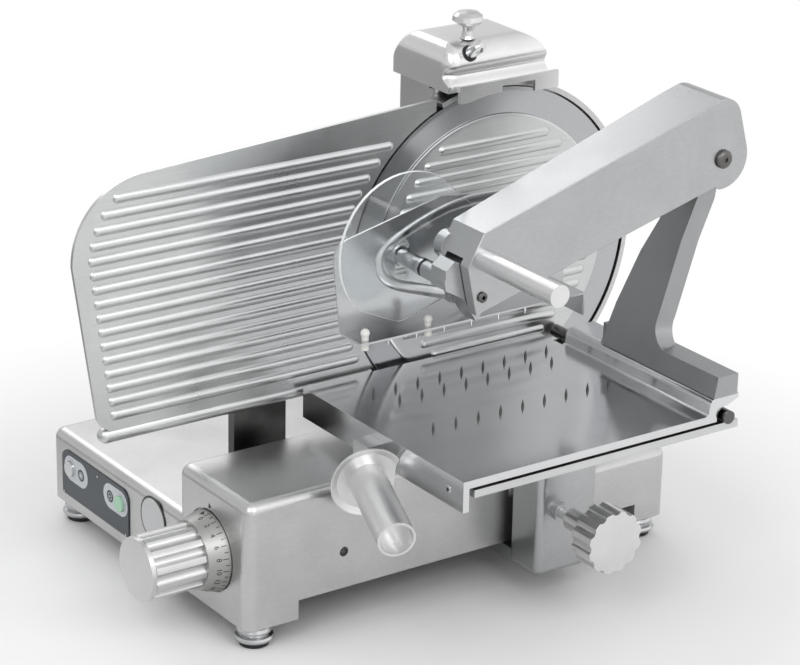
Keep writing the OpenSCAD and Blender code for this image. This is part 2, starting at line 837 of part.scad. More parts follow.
// Hood with a rolled front edge, a sloped rear and a skirt in front of the blade.
module sharpener_hood() {
    end_r = 34;
    skirt_t = 3;
    color("silver") machine() difference() {
        union() {
            intersection() {
                plane_yz(-hood_left, hood_left + hood_right) hood_section(0, hood_low_z);
                plane_xz(-hood_front - 1, hood_back + hood_front + 2) hood_front_outline(0, hood_low_z, end_r);
            }
            // Skirt that hangs in front of the blade's upper edge
            plane_xz(-hood_front - skirt_t, skirt_t + 1) difference() {
                translate([-hood_left + 13, blade_r - 6]) square([hood_left + hood_right - 1, 18]);
                circle(r = blade_r - 1, $fn = 120);
                translate([0, blade_r - 8]) square([42, 14]);
            }
        }
        intersection() {
            plane_yz(-hood_left + hood_wall, hood_left + hood_right - 2 * hood_wall)
                hood_section(hood_wall, hood_low_z - 1);
            plane_xz(-hood_front - 1, hood_back + hood_front + 2)
                hood_front_outline(hood_wall, hood_low_z - 1, end_r);
        }
        sharpening_axis() cylinder(r = sharpen_r + fit, h = hood_front_r + 10);
        translate([top_knob_x, top_knob_y, hood_top_z - 20]) cylinder(r = 4 + seat, h = 30);
    }
}

module hood_section(inset, low) {
    y0 = -hood_front + inset;
    y1 = hood_back - inset;
    top = hood_top_z - inset;
    front_r = hood_front_r - inset;
    rear_r = hood_rear_r - inset;
    polygon(concat([[y1, low], [y0, low]],
        arc([y0 + front_r, top - front_r], front_r, 180, 90, 12),
        arc([y1 - rear_r, top - rear_r], rear_r, 90, 0, 12)));
}

module hood_front_outline(inset, low, end_r) {
    x0 = -hood_left + inset;
    x1 = hood_right - inset;
    top = hood_top_z - inset;
    left_r = 12;
    polygon(concat([[x1, low], [x0, low]],
        arc([x0 + left_r - inset, top - left_r + inset], left_r - inset, 180, 90, 6),
        arc([x1 - end_r + inset, top - end_r + inset], end_r - inset, 90, 0, 12)));
}

// Axis of the sharpening button: out of the middle of the hood's rolled edge, leaning up.
module sharpening_axis() {
    translate([sharpen_x, -hood_front + hood_front_r, hood_top_z - hood_front_r])
        rotate([90 - sharpen_tilt, 0, 0]) children();
}

module sharpening_button() {
    inner = hood_front_r - hood_wall - 6;
    out = sharpen_travel + 16;
    color("lightgray") machine() sharpening_axis() union() {
        translate([0, 0, inner]) cylinder(r = sharpen_r, h = hood_front_r + out - inner);
        translate([0, 0, inner]) cylinder(r = sharpen_r + 1.5, h = 1.5);
        translate([0, 0, hood_front_r + out - tiny]) cylinder(r1 = sharpen_r, r2 = sharpen_r - 3.5, h = 3.5, $fn = 48);
    }
}

module sharpener_knob() {
    head = [[0, 0], [8, 0], [6.5, 3], [5.8, 8], [7.5, 13], [top_knob_r - 3, 15.5], [top_knob_r, 19],
        [top_knob_r - 1, 24], [top_knob_r - 5, 27], [0, 28.5]];
    screw_z = hood_top_z - hood_wall - 11;
    color("lightgray") machine() translate([top_knob_x, top_knob_y, 0]) union() {
        translate([0, 0, screw_z]) cylinder(r = 4, h = hood_top_z - screw_z + 1);
        translate([0, 0, hood_top_z + seat]) rotate_extrude() polygon(head);
    }
}

// A cup stone on its spindle.
module stone(x) {
    machine() union() {
        rod_y(x, stone_y, stone_z, stone_r, stone_t);
        rod_y(x, stone_y + stone_t - 1, stone_z, 5, carrier_y + 20 - stone_y - stone_t);
    }
}

module grinding_stone() {
    color("dimgray") stone(grind_x);
}

module honing_stone() {
    color("sienna") stone(hone_x);
}

// GAUGE PLATE AND ITS SETTING

module gauge_outline() {
    foot = [-gauge_left + gauge_lean + gauge_foot_r, -gauge_drop + gauge_foot_r];
    difference() {
        polygon(concat(
            arc(foot, gauge_foot_r, 270, 188, 8),
            arc([gauge_corner_x, gauge_corner_z], gauge_corner_r, 180, 94, 16),
            [[-gauge_tip, gauge_tip_h], [-gauge_tip, 0], [0, 0], [0, -gauge_drop]]));
        circle(r = gauge_r, $fn = 120);
    }
}

module gauge_plate() {
    left_in = 22;
    right_in = 14;
    bead_left = -gauge_left + gauge_lean + bead_r + 4;
    bead_right = -sqrt(pow(gauge_r, 2) - pow(gauge_drop, 2)) - 6;
    color("silver") machine() union() {
        plane_xz(0, gauge_t) gauge_outline();
        for (i = [0:rib_count - 1]) {
            z = rib_top - i * rib_pitch;
            lean = gauge_lean * max(0, gauge_corner_z - z) / (gauge_corner_z + gauge_drop);
            bow = z > gauge_corner_z ? gauge_corner_r - sqrt(pow(gauge_corner_r, 2) - pow(z - gauge_corner_z, 2)) : 0;
            rib(-gauge_left + left_in + lean + bow, -sqrt(pow(gauge_r, 2) - pow(z, 2)) - right_in, z, 0);
        }
        // Rolled lower edge
        rod_x(bead_left, bead_r - 2, bead_z, bead_r, bead_right - bead_left);
        translate([bead_left, bead_r - 2, bead_z]) sphere(r = bead_r);
        translate([bead_right, bead_r - 2, bead_z]) sphere(r = bead_r);
        block([bead_left, 0, bead_z], [bead_right, gauge_t, -gauge_drop + 1]);
    }
}

module gauge_support() {
    half = support_w / 2;
    color("dimgray") machine() difference() {
        union() {
            block([-support_x - half, support_y, knob_z - slide_r - 5], [-support_x + half, support_y + support_t,
                support_top_z + 14]);
            // Ledge that the gauge plate is screwed to
            block([-support_x - half, gauge_t, support_top_z + 1], [-support_x + half, support_y + 1,
                support_top_z + 14]);
        }
        rod_y(-support_x, support_y - 1, knob_z, slide_r + fit, support_t + 2);
    }
}

// Slide rod with the roller that follows the scroll cam.
module gauge_slide() {
    color("lightgray") machine() union() {
        rod_y(-support_x, follower_y + 10, knob_z, slide_r, slide_back_y - follower_y - 10);
        difference() {
            rod_y(-support_x, follower_y, knob_z, slide_r, 11);
            block([-support_x - 4, follower_y - 1, knob_z - slide_r - 1], [-support_x + 4, follower_y + 7.5,
                knob_z + slide_r + 1]);
        }
        rod_x(-support_x - 3.4, follower_y, knob_z, follower_r, 6.8);
        rod_x(-support_x - 7, follower_y, knob_z, 2.5, 14);
    }
}

// Two bored blocks under the top wall that guide the slide rod.
module gauge_guide() {
    half = 22;
    top = low_top_z - base_wall;
    color("darkgray") machine() difference() {
        for (y = [-housing_back - 4, 48])
            block([-support_x - half, y, knob_z - slide_r - 6], [-support_x + half, y + 14, top]);
        rod_y(-support_x, -100, knob_z, slide_r + fit, 200);
    }
}

// Radius of the scroll cam at an angle from its low point.
function cam_radius(a) = cam_r + gauge_open * a / knob_turn;

module scroll_cam() {
    steps = 60;
    color("goldenrod") machine() difference() {
        plane_yz(-support_x - 3, 6) translate([-knob_y, knob_z])
            polygon([for (i = [0:steps]) cam_radius(knob_turn * i / steps) *
                [cos(knob_turn * i / steps), sin(knob_turn * i / steps)]]);
        rod_x(-support_x - 4, -knob_y, knob_z, knob_shaft_r + fit, 8);
    }
}

module knob_shaft() {
    color("lightgray") machine()
        rod_x(-base_left - dial_l - 30, -knob_y, knob_z, knob_shaft_r, base_left + dial_l + 30 - support_x + 12);
}

module thickness_dial() {
    color("white") machine() difference() {
        translate([-base_left + dial_recess - 0.5, -knob_y, knob_z]) rotate([0, -90, 0])
            rotate_extrude($fn = 96) polygon([[0, 0], [dial_r, 0], [dial_r, 5], [knob_r + 2, dial_l], [0, dial_l]]);
        rod_x(-base_left - 60, -knob_y, knob_z, knob_shaft_r + fit, 80);
    }
}

module thickness_knob() {
    end = -base_left - dial_l + dial_recess - 0.5;
    depth = 3.2;
    cap = 5;
    color("lightgray") machine() difference() {
        union() {
            plane_yz(end - knob_l + cap, knob_l - cap) translate([-knob_y, knob_z])
                fluted_outline(knob_r, knob_flutes, depth, 6.5);
            rod_x(end - knob_l, -knob_y, knob_z, knob_r - 1, cap);
        }
        rod_x(end - 34, -knob_y, knob_z, knob_shaft_r + fit, 60);
    }
}

// CARRIAGE

module carriage_column() {
    x0 = -column_x;
    x1 = x0 + column_w;
    color("silver") machine() difference() {
        union() {
            rotate([180, 0, 0]) soft_block([x0, -column_y0, -lower_z0], [x1, -column_y1, -column_z], 8);
            // Arm that passes under the base's front edge
            block([x0 + 3, column_y0 - 12, column_z], [x1 - 3, block_y1, block_z0]);
            rod_y(lock_x, column_y1 - 4, lock_z, 10, 14);
        }
        rod_y(lock_x, column_y1 - 10, lock_z, lock_shank_r + fit, 34);
    }
}

module slide_block() {
    color("darkgray") machine() difference() {
        block([-column_x - block_margin, block_y0, block_z0], [-column_x + column_w + block_margin, block_y1, block_z1]);
        for (z = [bar_low_z, bar_high_z]) rod_x(-column_x - 50, bar_y, z, bush_r, column_w + 100);
    }
}

module slide_bushes() {
    l = 22;
    x0 = -column_x - block_margin;
    x1 = -column_x + column_w + block_margin;
    color("goldenrod") machine() for (z = [bar_low_z, bar_high_z], x = [x0 + 1, x1 - l - 1]) difference() {
        rod_x(x, bar_y, z, bush_r - fit, l);
        rod_x(x - 1, bar_y, z, bar_r + fit, l + 2);
    }
}

module lower_plate() {
    margin = 13;
    color("gainsboro") machine() block([-plate_left + margin, -plate_front, lower_z0], [lower_right, -plate_gap - 6,
        lower_z1]);
}

module guide_rod() {
    color("dimgray") machine() union() {
        rod_y(rod_x, -rod_front, rod_z, rod_r, rod_front + rod_back);
        // Foot strip that the rod is screwed down on
        block([rod_x - 3, -plate_front + 4, lower_z1], [rod_x + 3, -plate_gap - 10, rod_z - rod_r + 1]);
    }
}

module glide_strips() {
    gap = 0.1;
    color("white") machine() for (x = [-plate_left + 24, -60]) block([x, -plate_front + 22, lower_z1],
        [x + 18, -plate_gap - 12, lower_z1 + glide_gap - gap]);
}

module lock_knob() {
    y0 = column_y1 - lock_neck;
    color("lightgray") machine() union() {
        rod_y(lock_x, y0 + 2, lock_z, lock_shank_r, lock_neck + 20);
        rod_y(lock_x, y0 - 2, lock_z, 12, lock_neck - 18);
        plane_xz(y0 - lock_t, lock_t) translate([lock_x, lock_z]) fluted_outline(lock_r, 12, 2.8, 5.5);
    }
}

// PRODUCT PLATE

// Plate with a left flange, and a right edge that hooks over the guide rod.
module product_plate() {
    z0 = plate_z - plate_t;
    color("lightgray") machine() difference() {
        union() {
            block([-plate_left, -plate_front, z0], [hook_left - 4, -plate_gap, plate_z]);
            block([-plate_left, -plate_front, plate_z - plate_flange], [-plate_left + 7, -plate_gap, plate_z]);
            plane_xz(-plate_front, plate_front - hook_back) polygon(concat([[hook_left - 5, z0],
                [hook_left - 5, plate_z]], [[hook_left - 1, plate_z + 2]],
                arc([hook_left + 9, hook_top_z - 9], 9, 170, 90, 6),
                [[hook_right, hook_top_z], [hook_right, hook_top_z - 5], [rod_x, rod_z + bush_r_out - 1],
                [rod_x - bush_r_out + 1, rod_z], [rod_x - bush_r_out, z0]]));
        }
        rod_y(rod_x, -plate_front - 1, rod_z, bush_r_out, plate_front + 20);
        rod_y(rod_x, -plate_front - 60, rod_z, bush_r_out, plate_front);
        block([rod_x - bush_r_out, -plate_front - 1, z0 - 5], [rod_x + bush_r_out, 0, rod_z]);
    }
}

// Bushes open below, because the rod is held down along its length.
module rod_bushes() {
    l = 20;
    color("goldenrod") machine() for (y = [-hook_back - l - 6, -rod_front + plate_travel + 10]) difference() {
        rod_y(rod_x, y, rod_z, bush_r_out - fit, l);
        rod_y(rod_x, y - 1, rod_z, rod_r + fit, l + 2);
        block([rod_x - bush_r_out - 1, y - 1, rod_z - bush_r_out - 1], [rod_x + bush_r_out + 1, y + l + 1, rod_z - 4]);
    }
}

// Three rows of pointed spikes; the middle row is staggered and one shorter.
module plate_spikes() {
    pitch = 27.4;
    rows = [[-186, 60, 9], [-173, 88, 8], [-187, 166, 9]];
    color("gray") machine() for (row = rows, i = [0:row[2] - 1])
        translate([row[0] + i * pitch, -row[1], plate_z])
            rotate_extrude($fn = 16) polygon([[0, 0], [spike_r, 0], [spike_r * 0.8, spike_h * 0.4], [0.15, spike_h],
                [0, spike_h]]);
}

// Tube grip with a recessed end and a dished hand guard, slanting forward off the left flange.
module plate_handle() {
    dir = [-0.311, -0.937, -0.161];
    yaw = atan2(dir.x, -dir.y);
    pitch = asin(dir.z);
    start = [-plate_left - 25, -161, plate_z - 37];
    boss_r = 13;
    handle_recess = 18;
    color("lightgray") machine() union() {
        difference() {
            translate(start) rotate([0, 0, yaw]) rotate([90 - pitch, 0, 0]) difference() {
                union() {
                    cylinder(r = handle_r, h = handle_l);
                    rotate_extrude($fn = 96) polygon([[0, -3], [handle_r - 2, -3], [disc_r - 6, 1], [disc_r, 5],
                        [disc_r, 7], [disc_r - 1, 7], [disc_r - 7, 4], [handle_r, 3], [0, 3]]);
                    translate([0, 0, -14]) cylinder(r = boss_r, h = 14);
                }
                translate([0, 0, handle_l - handle_recess]) cylinder(r = handle_r - handle_wall, h = handle_l);
            }
            // The guard's edge is flat along the plate's flange
            block([-plate_left - seat, -plate_front, plate_z - 2 * disc_r], [-plate_left + disc_r, 0, plate_z]);
        }
        // Lug that is screwed to the flange
        block([-plate_left - 19, -154, plate_z - 34], [-plate_left, -128, plate_z - 8]);
    }
}

// Cast post that leans towards the pivot, with a long foot on the plate's hooked edge.
module arm_post() {
    h = pivot_h - hook_top_z;
    foot_front = plate_front + 2;
    foot_back = 105;
    neck_back = 159;
    neck_front = 208;
    throat_r = 24;
    boss_r = 17;
    color("darkgray") machine() difference() {
        union() {
            block([post_x + 4, -foot_front, hook_top_z], [post_x + 30, -foot_back, hook_top_z + foot_top]);
            translate([post_x, 0, hook_top_z]) rotate([0, post_lean, 0]) plane_yz(0, post_t)
                polygon(concat([[-foot_back, -5], [-foot_back - 13, 48], [-neck_back + 19, 111], [-neck_back, 150],
                    [post_y1, h - 34], [post_y1, h + 6], [post_y0, h + 6], [-neck_front, h - 36],
                    [-neck_front + 11, 139]], arc([-neck_front + 0.5, foot_top + throat_r], throat_r, 20, -85, 8),
                    [[-foot_front, foot_top + 1], [-foot_front, -5]]));
            rod_y(pivot_x, post_y0, pivot_h, boss_r, post_y1 - post_y0);
        }
        rod_y(pivot_x, post_y0 - 1, pivot_h, pivot_r + fit, post_y1 - post_y0 + 2);
        block([post_x - 40, -400, hook_top_z - 30], [post_x + 80, 0, hook_top_z]);
    }
}

// PRESS ARM

// Side outline of the arm about its pivot, with the free end to the left.
module arm_outline(inset) {
    corner_r = 22;
    rotate(arm_tilt) polygon(concat(
        [[-arm_reach - 23 + inset, -20 + inset], [-16, -25 + inset]],
        arc([0, 0], arm_end_r - inset, -110, 0, 10),
        arc([arm_end_r - corner_r, 39], corner_r - inset, 0, 88, 8),
        [[-arm_reach + 6, 57 - inset], [-arm_reach - 20 + inset, 31]]));
}

// Plan outline of the arm, which widens towards the pivot.
module arm_plan(inset) {
    far = 60;
    end_x = pivot_x - arm_reach;
    polygon([[end_x - far, arm_y0 + inset], [pivot_x + far, arm_y0 + inset],
        [pivot_x + far, -arm_back - inset], [pivot_x - 20, -arm_back - inset], [end_x, arm_y1 - inset],
        [end_x - far, arm_y1 - inset]]);
}

module arm_solid(inset) {
    intersection() {
        plane_xz(arm_y0 - 1, arm_y0 * -1 - arm_back + 2) translate([pivot_x, pivot_h]) children();
        translate([0, 0, -200]) linear_extrude(600) arm_plan(inset);
    }
}

module press_arm() {
    collar_r = 15;
    color("silver") machine() difference() {
        union() {
            arm_solid(0) arm_outline(0);
            rod_y(head_pin_x - 2, arm_y1 - 5, grip_z, collar_r, 13);
        }
        // Channel open below, where the post enters and swings
        arm_solid(arm_wall) union() {
            arm_outline(arm_wall);
            rotate(arm_tilt) translate([-arm_reach + 60, -60]) square([arm_reach - 70, 64]);
            rotate(arm_tilt) polygon([[-60, 0], [0, 20], [26, 8], [70, -30], [70, -90], [-60, -90]]);
        }
        // Slot in the free end for the press head
        plane_xz(head_y0 - 1, head_w + 2) translate([head_pin_x - 44, head_pin_z - 44]) square([80, 82]);
        rod_y(pivot_x, arm_y0 - 1, pivot_h, pivot_r + fit, arm_y0 * -1 - arm_back + 2);
        rod_y(head_pin_x, arm_y0 - 1, head_pin_z, head_pin_r + fit, arm_w + 2);
    }
}

module arm_pivot_pin() {
    color("lightgray") machine() union() {
        rod_y(pivot_x, arm_y0 - 2, pivot_h, pivot_r, arm_y0 * -1 - arm_back + 4);
        rod_y(head_pin_x, arm_y0 - 1.5, head_pin_z, head_pin_r, arm_w + 3);
    }
}

module arm_handle() {
    color("lightgray") machine() rod_y(head_pin_x + 1, -arm_front - grip_l, grip_z, grip_r, grip_l);
}

// Swivel head in the arm's end slot, with the boss that takes the stud.
module press_head() {
    color("silver") machine() difference() {
        union() {
            plane_xz(head_y0, head_w) polygon([[head_pin_x + 14, head_pin_z + 8], [head_pin_x + 10, head_pin_z - 24],
                [head_pin_x + 4, head_pin_z - 30], [head_pin_x - 12, head_pin_z - 4], [stud_x - 8, stud_z - 8],
                [stud_x - 8, stud_z + 12], [stud_x + 2, stud_z + 20], [head_pin_x + 8, head_pin_z + 24]]);
            rod_y(stud_x, head_y0, stud_z, 9, head_w + 18);
        }
        rod_y(head_pin_x, head_y0 - 1, head_pin_z, head_pin_r + fit, head_w + 2);
        rod_y(stud_x, head_y0 + 8, stud_z, stud_r + fit, 80);
    }
}

// Stud with the nuts that clamp the guard and the press plate.
module press_stud() {
    end = -press_y + press_t;
    color("gray") machine() union() {
        rod_y(stud_x, head_y0 + 9, stud_z, stud_r, end + 8 - head_y0 - 9);
        rod_y(stud_x, guard_y - 5, stud_z, 9, 5);
        rod_y(stud_x, guard_y + guard_t, stud_z, 8, -press_y - guard_y - guard_t);
        rod_y(stud_x, end, stud_z, 10, 6);
    }
}

module clear_guard() {
    c = [stud_x - 18, stud_z + 22];
    tip = [stud_x - 27, stud_z - 52];
    color([0.8, 0.9, 0.95, 0.4]) machine() difference() {
        plane_xz(guard_y, guard_t) polygon(concat(arc(c, guard_r, 62, 225, 24),
            [tip, [tip.x + 6, tip.y], [tip.x + 58, tip.y + 15], [tip.x + 90, tip.y + 98], [tip.x + 84, tip.y + 106]]));
        rod_y(stud_x, guard_y - 1, stud_z, stud_r + fit, guard_t + 2);
    }
}

// Bent sheet: an upright plate with a slot, and a lower flange with short teeth.
module press_plate() {
    x0 = press_x0;
    x1 = x0 + press_l;
    slot_r = 8;
    color("silver") machine() difference() {
        union() {
            plane_xz(-press_y, press_t) polygon(concat([[x0, press_z0], [x0 - 8, press_z0 + 72]],
                arc([x0 + 12, press_z0 + 78], 20, 170, 110, 4),
                [[x0 + 116, press_z0 + 122], [x0 + 216, press_z0 + 107], [x1, press_z0 + 60], [x1, press_z0]]));
            block([x0, -press_y - press_flange, press_z0], [x1, -press_y + press_t, press_z0 + press_t]);
            block([x1 - press_t, -press_y - press_flange, press_z0 - 22], [x1, -press_y - 6, press_z0 + 1]);
            for (x = [x0 + 34:33:x1 - 20]) translate([x, -press_y - press_flange + 3, press_z0 - 7])
                cylinder(r1 = 0.4, r2 = 1.6, h = 7.5, $fn = 16);
        }
        for (z = [stud_z - 18, stud_z + 10]) rod_y(stud_x, -press_y - 1, z, slot_r, press_t + 2);
        block([stud_x - slot_r, -press_y - 1, stud_z - 18], [stud_x + slot_r, -press_y + press_t + 1, stud_z + 10]);
        for (x = [x0 + 10, x0 + 84]) translate([x, -press_y - press_flange + 8, press_z0 - 1]) cylinder(r = 2.5, h = 6);
    }
}

// White ball-headed pins on the press plate's flange.
module ball_pins() {
    color("white") machine() for (x = [press_x0 + 10, press_x0 + 84])
        translate([x, -press_y - press_flange + 8, press_z0]) union() {
            translate([0, 0, press_t + 7]) sphere(r = 4.5);
            translate([0, 0, press_t]) cylinder(r = 3.5, h = 4);
            translate([0, 0, -7]) cylinder(r = 2.5 - fit, h = 12);
            translate([0, 0, -8]) cylinder(r = 3.8, h = 7.9);
        }
}

base_casting();
bottom_plate();
feet();
foot_pads();
control_panel();
circuit_board();
cable_gland();
guide_bars();
blade_column();
motor_cover();
motor_housing();
spindle_bearings();
drive_belt();
ring_guard();
sharpener_bracket();
sharpener_hood();
gauge_guide();
blade();
blade_spindle();
blade_pulley();
blade_screws();
motor_shaft();
motor_pulley();
blade_cover();
cover_tie_rod();
cover_release_knob();
thickness_knob();
thickness_dial();
knob_shaft();
scroll_cam();
gauge_plate();
gauge_support();
gauge_slide();
carriage_column();
slide_block();
slide_bushes();
lower_plate();
guide_rod();
glide_strips();
lock_knob();
product_plate();
plate_spikes();
rod_bushes();
arm_post();
plate_handle();
press_arm();
arm_pivot_pin();
arm_handle();
press_head();
press_stud();
press_plate();
ball_pins();
clear_guard();
stop_button();
start_button();
sharpener_knob();
sharpening_button();
grinding_stone();
honing_stone();
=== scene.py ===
import math

import bmesh
import bpy
from mathutils import Matrix, Vector


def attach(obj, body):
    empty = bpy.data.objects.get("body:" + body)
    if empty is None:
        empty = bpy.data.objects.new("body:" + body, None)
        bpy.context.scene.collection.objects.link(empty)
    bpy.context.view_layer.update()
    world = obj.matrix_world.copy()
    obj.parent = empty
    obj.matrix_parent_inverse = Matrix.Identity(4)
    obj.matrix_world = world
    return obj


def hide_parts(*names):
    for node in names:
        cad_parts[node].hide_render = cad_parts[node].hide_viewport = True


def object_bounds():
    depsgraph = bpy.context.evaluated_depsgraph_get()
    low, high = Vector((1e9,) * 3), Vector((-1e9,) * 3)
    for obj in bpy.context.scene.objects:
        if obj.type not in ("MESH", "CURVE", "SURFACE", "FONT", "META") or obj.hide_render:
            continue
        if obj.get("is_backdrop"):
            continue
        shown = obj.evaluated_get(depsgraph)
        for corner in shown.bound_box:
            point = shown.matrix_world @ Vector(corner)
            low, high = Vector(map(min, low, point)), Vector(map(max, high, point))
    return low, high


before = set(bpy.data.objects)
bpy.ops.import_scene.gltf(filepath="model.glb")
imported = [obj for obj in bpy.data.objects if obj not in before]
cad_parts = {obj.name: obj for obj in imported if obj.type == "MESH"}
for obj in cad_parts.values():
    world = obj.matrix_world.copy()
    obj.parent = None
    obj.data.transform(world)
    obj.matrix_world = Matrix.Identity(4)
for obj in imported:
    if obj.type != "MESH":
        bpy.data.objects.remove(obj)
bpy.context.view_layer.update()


# Studio
# A pale floor, three soft boxes and a bright even sky. The lens is a long one,
# from the left and above, and the blade's centre is the place that all is set out from.
def at(x, y, z):
    """A point given in mm from the blade's centre, in the machine's own frame in metres."""
    return Vector(((x + 155.25) / 1000, (y + 32.0) / 1000, (z + 309.0) / 1000))


def linear(hex_colour):
    parts = [int(hex_colour[i:i + 2], 16) / 255 for i in (1, 3, 5)]
    return tuple(c / 12.92 if c <= 0.04045 else ((c + 0.055) / 1.055) ** 2.4 for c in parts) + (1.0,)


def emptied(owner):
    """The node tree of a world or a material, with nothing in it."""
    owner.use_nodes = True
    owner.node_tree.nodes.clear()
    return owner.node_tree


def add(tree, kind, links=None, **settings):
    """One node: settings are its own properties or its sockets' values, links say what feeds a socket."""
    node = tree.nodes.new(kind)
    for key, value in settings.items():
        if hasattr(node, key):
            setattr(node, key, value)
        else:
            node.inputs[key.replace("_", " ")].default_value = value
    for socket, source in (links or {}).items():
        tree.links.new(source, node.inputs[socket])
    return node


scene = bpy.context.scene
scene.view_settings.view_transform = "Standard"

world = bpy.data.worlds.new("studio_sky")
scene.world = world
sky = emptied(world)


def seen_rays(tree):
    """Two sockets: mirrored rays, and all the rays that show a thing itself, in a mirror, to the lens or
    through a clear piece. The rest of the rays only light the scene."""
    ray = add(tree, "ShaderNodeLightPath").outputs
    clear = add(tree, "ShaderNodeMath", {0: ray["Is Camera Ray"], 1: ray["Is Transmission Ray"]},
                operation="MAXIMUM")
    seen = add(tree, "ShaderNodeMath", {0: clear.outputs[0], 1: ray["Is Glossy Ray"]}, operation="MAXIMUM")
    return ray["Is Glossy Ray"], seen.outputs[0]


lamp_direction = (0.6, -0.8, 0)
glossy, shown = seen_rays(sky)
way = add(sky, "ShaderNodeTexCoord")
rise = add(sky, "ShaderNodeSeparateXYZ", {0: way.outputs["Generated"]})
tone = add(sky, "ShaderNodeValToRGB", {0: rise.outputs["Z"]})
tone.color_ramp.elements[0].position = 0.0
tone.color_ramp.elements[0].color = (0.62, 0.62, 0.62, 1)
tone.color_ramp.elements[1].position = 0.9
tone.color_ramp.elements[1].color = (1.0, 1.0, 1.0, 1)
reflected = add(sky, "ShaderNodeValToRGB", {0: rise.outputs["Z"]})
reflected.color_ramp.elements[0].position = 0.0
reflected.color_ramp.elements[0].color = (0.92, 0.92, 0.92, 1)
reflected.color_ramp.elements[1].position = 1.0
reflected.color_ramp.elements[1].color = (0.85, 0.85, 0.85, 1)
dim = reflected.color_ramp.elements.new(0.45)
dim.color = (0.68, 0.68, 0.69, 1)
even = add(sky, "ShaderNodeBackground", {"Color": tone.outputs["Color"]}, Strength=0.78)
lamp_side = add(sky, "ShaderNodeVectorMath", {0: way.outputs["Generated"]}, operation="DOT_PRODUCT")
lamp_side.inputs[1].default_value = lamp_direction
lit = add(sky, "ShaderNodeMapRange", {"Value": lamp_side.outputs["Value"]},
          From_Min=0.0, From_Max=0.9, To_Min=1.0, To_Max=1.6)
mirror_sky = add(sky, "ShaderNodeVectorMath", {0: reflected.outputs["Color"], "Scale": lit.outputs[0]},
                 operation="SCALE")
mirrored = add(sky, "ShaderNodeMix", {0: glossy, 7: mirror_sky.outputs[0]}, data_type="RGBA")
mirrored.inputs[6].default_value = (1, 1, 1, 1)
white = add(sky, "ShaderNodeBackground", {"Color": mirrored.outputs[2]}, Strength=1.0)
both = add(sky, "ShaderNodeMixShader", {0: shown, 1: even.outputs[0], 2: white.outputs[0]})
add(sky, "ShaderNodeOutputWorld", {"Surface": both.outputs[0]})

lens_right = Vector((0.823444, -0.567109, 0.01811))
lens_up = Vector((0.190972, 0.307065, 0.932331))
lens_way = Vector((0.534294, 0.764263, -0.361153))
lens_place = at(-1734.769, -2306.49, 1020.953)
lens = bpy.data.cameras.new("photo_camera")
lens.lens = 131.64
lens.sensor_width = 36.0
lens.shift_x = 0.00973
lens.shift_y = 0.00072
lens.clip_start = 0.1
lens.clip_end = 30
camera = bpy.data.objects.new("photo_camera", lens)
stand = Matrix((lens_right, lens_up, -lens_way)).transposed().to_4x4()
stand.translation = lens_place
camera.matrix_world = stand
scene.collection.objects.link(camera)
scene.camera = camera


def softbox(name, place, size, watts):
    """A rectangular area lamp that looks at the middle of the machine."""
    middle = Vector((0, 0, 0.25))
    lamp = bpy.data.lights.new(name, "AREA")
    lamp.shape = "RECTANGLE"
    lamp.size, lamp.size_y = size
    lamp.energy = watts
    holder = bpy.data.objects.new(name, lamp)
    holder.location = place
    holder.rotation_mode = "QUATERNION"
    holder.rotation_quaternion = (middle - Vector(place)).to_track_quat("-Z", "Y")
    scene.collection.objects.link(holder)


softbox("key_softbox", (0.1, -2.3, 2.0), (1.8, 1.2), 20)
softbox("fill_softbox", (-1.8, -1.3, 1.9), (1.2, 1.4), 15)
softbox("rear_softbox", (0.3, 2.2, 1.9), (2.0, 1.0), 12)

floor_mesh = bmesh.new()
floor_half, floor_drop = 8, 0.0005
bmesh.ops.create_grid(floor_mesh, x_segments=2, y_segments=2, size=floor_half)
floor_data = bpy.data.meshes.new("studio_floor")
floor_mesh.to_mesh(floor_data)
floor_mesh.free()
floor = bpy.data.objects.new("studio_floor", floor_data)
floor.location.z = -floor_drop
scene.collection.objects.link(floor)
floor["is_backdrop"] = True

# White painted floor: matt, and only as dark as the machine's shadow on it. Far away it is plain white.
# To bare metal it glows with painted light, dim at the rear left and brightest in front and to the right,
# where the studio's lamps stand.
paint = bpy.data.materials.new("white_painted_floor")
tree = emptied(paint)
where = add(tree, "ShaderNodeTexCoord")
far = add(tree, "ShaderNodeVectorMath", {0: where.outputs["Object"]}, operation="LENGTH")
fade = add(tree, "ShaderNodeMapRange", {"Value": far.outputs["Value"]}, From_Min=0.42, From_Max=0.75)
glossy, shown = seen_rays(tree)
amount = add(tree, "ShaderNodeMath", {0: fade.outputs[0], 1: shown}, operation="MULTIPLY")
matt = add(tree, "ShaderNodeBsdfDiffuse", Color=linear("#F4F4F4"))
lamp_side = add(tree, "ShaderNodeVectorMath", {0: where.outputs["Object"]}, operation="DOT_PRODUCT")
lamp_side.inputs[1].default_value = lamp_direction
# Painted light: the glow that mirrored rays see grows towards the lamps' side.
mirrored = add(tree, "ShaderNodeMapRange", {"Value": lamp_side.outputs["Value"]},
               From_Min=-0.7, From_Max=0.5, To_Min=0.4, To_Max=1.05)
bright = add(tree, "ShaderNodeMix", {"Factor": glossy, "B": mirrored.outputs[0]}, A=1.0)
glow = add(tree, "ShaderNodeEmission", {"Strength": bright.outputs[0]}, Color=(1, 1, 1, 1))
mixed = add(tree, "ShaderNodeMixShader", {0: amount.outputs[0], 1: matt.outputs[0], 2: glow.outputs[0]})
add(tree, "ShaderNodeOutputMaterial", {"Surface": mixed.outputs[0]})
floor_data.materials.append(paint)


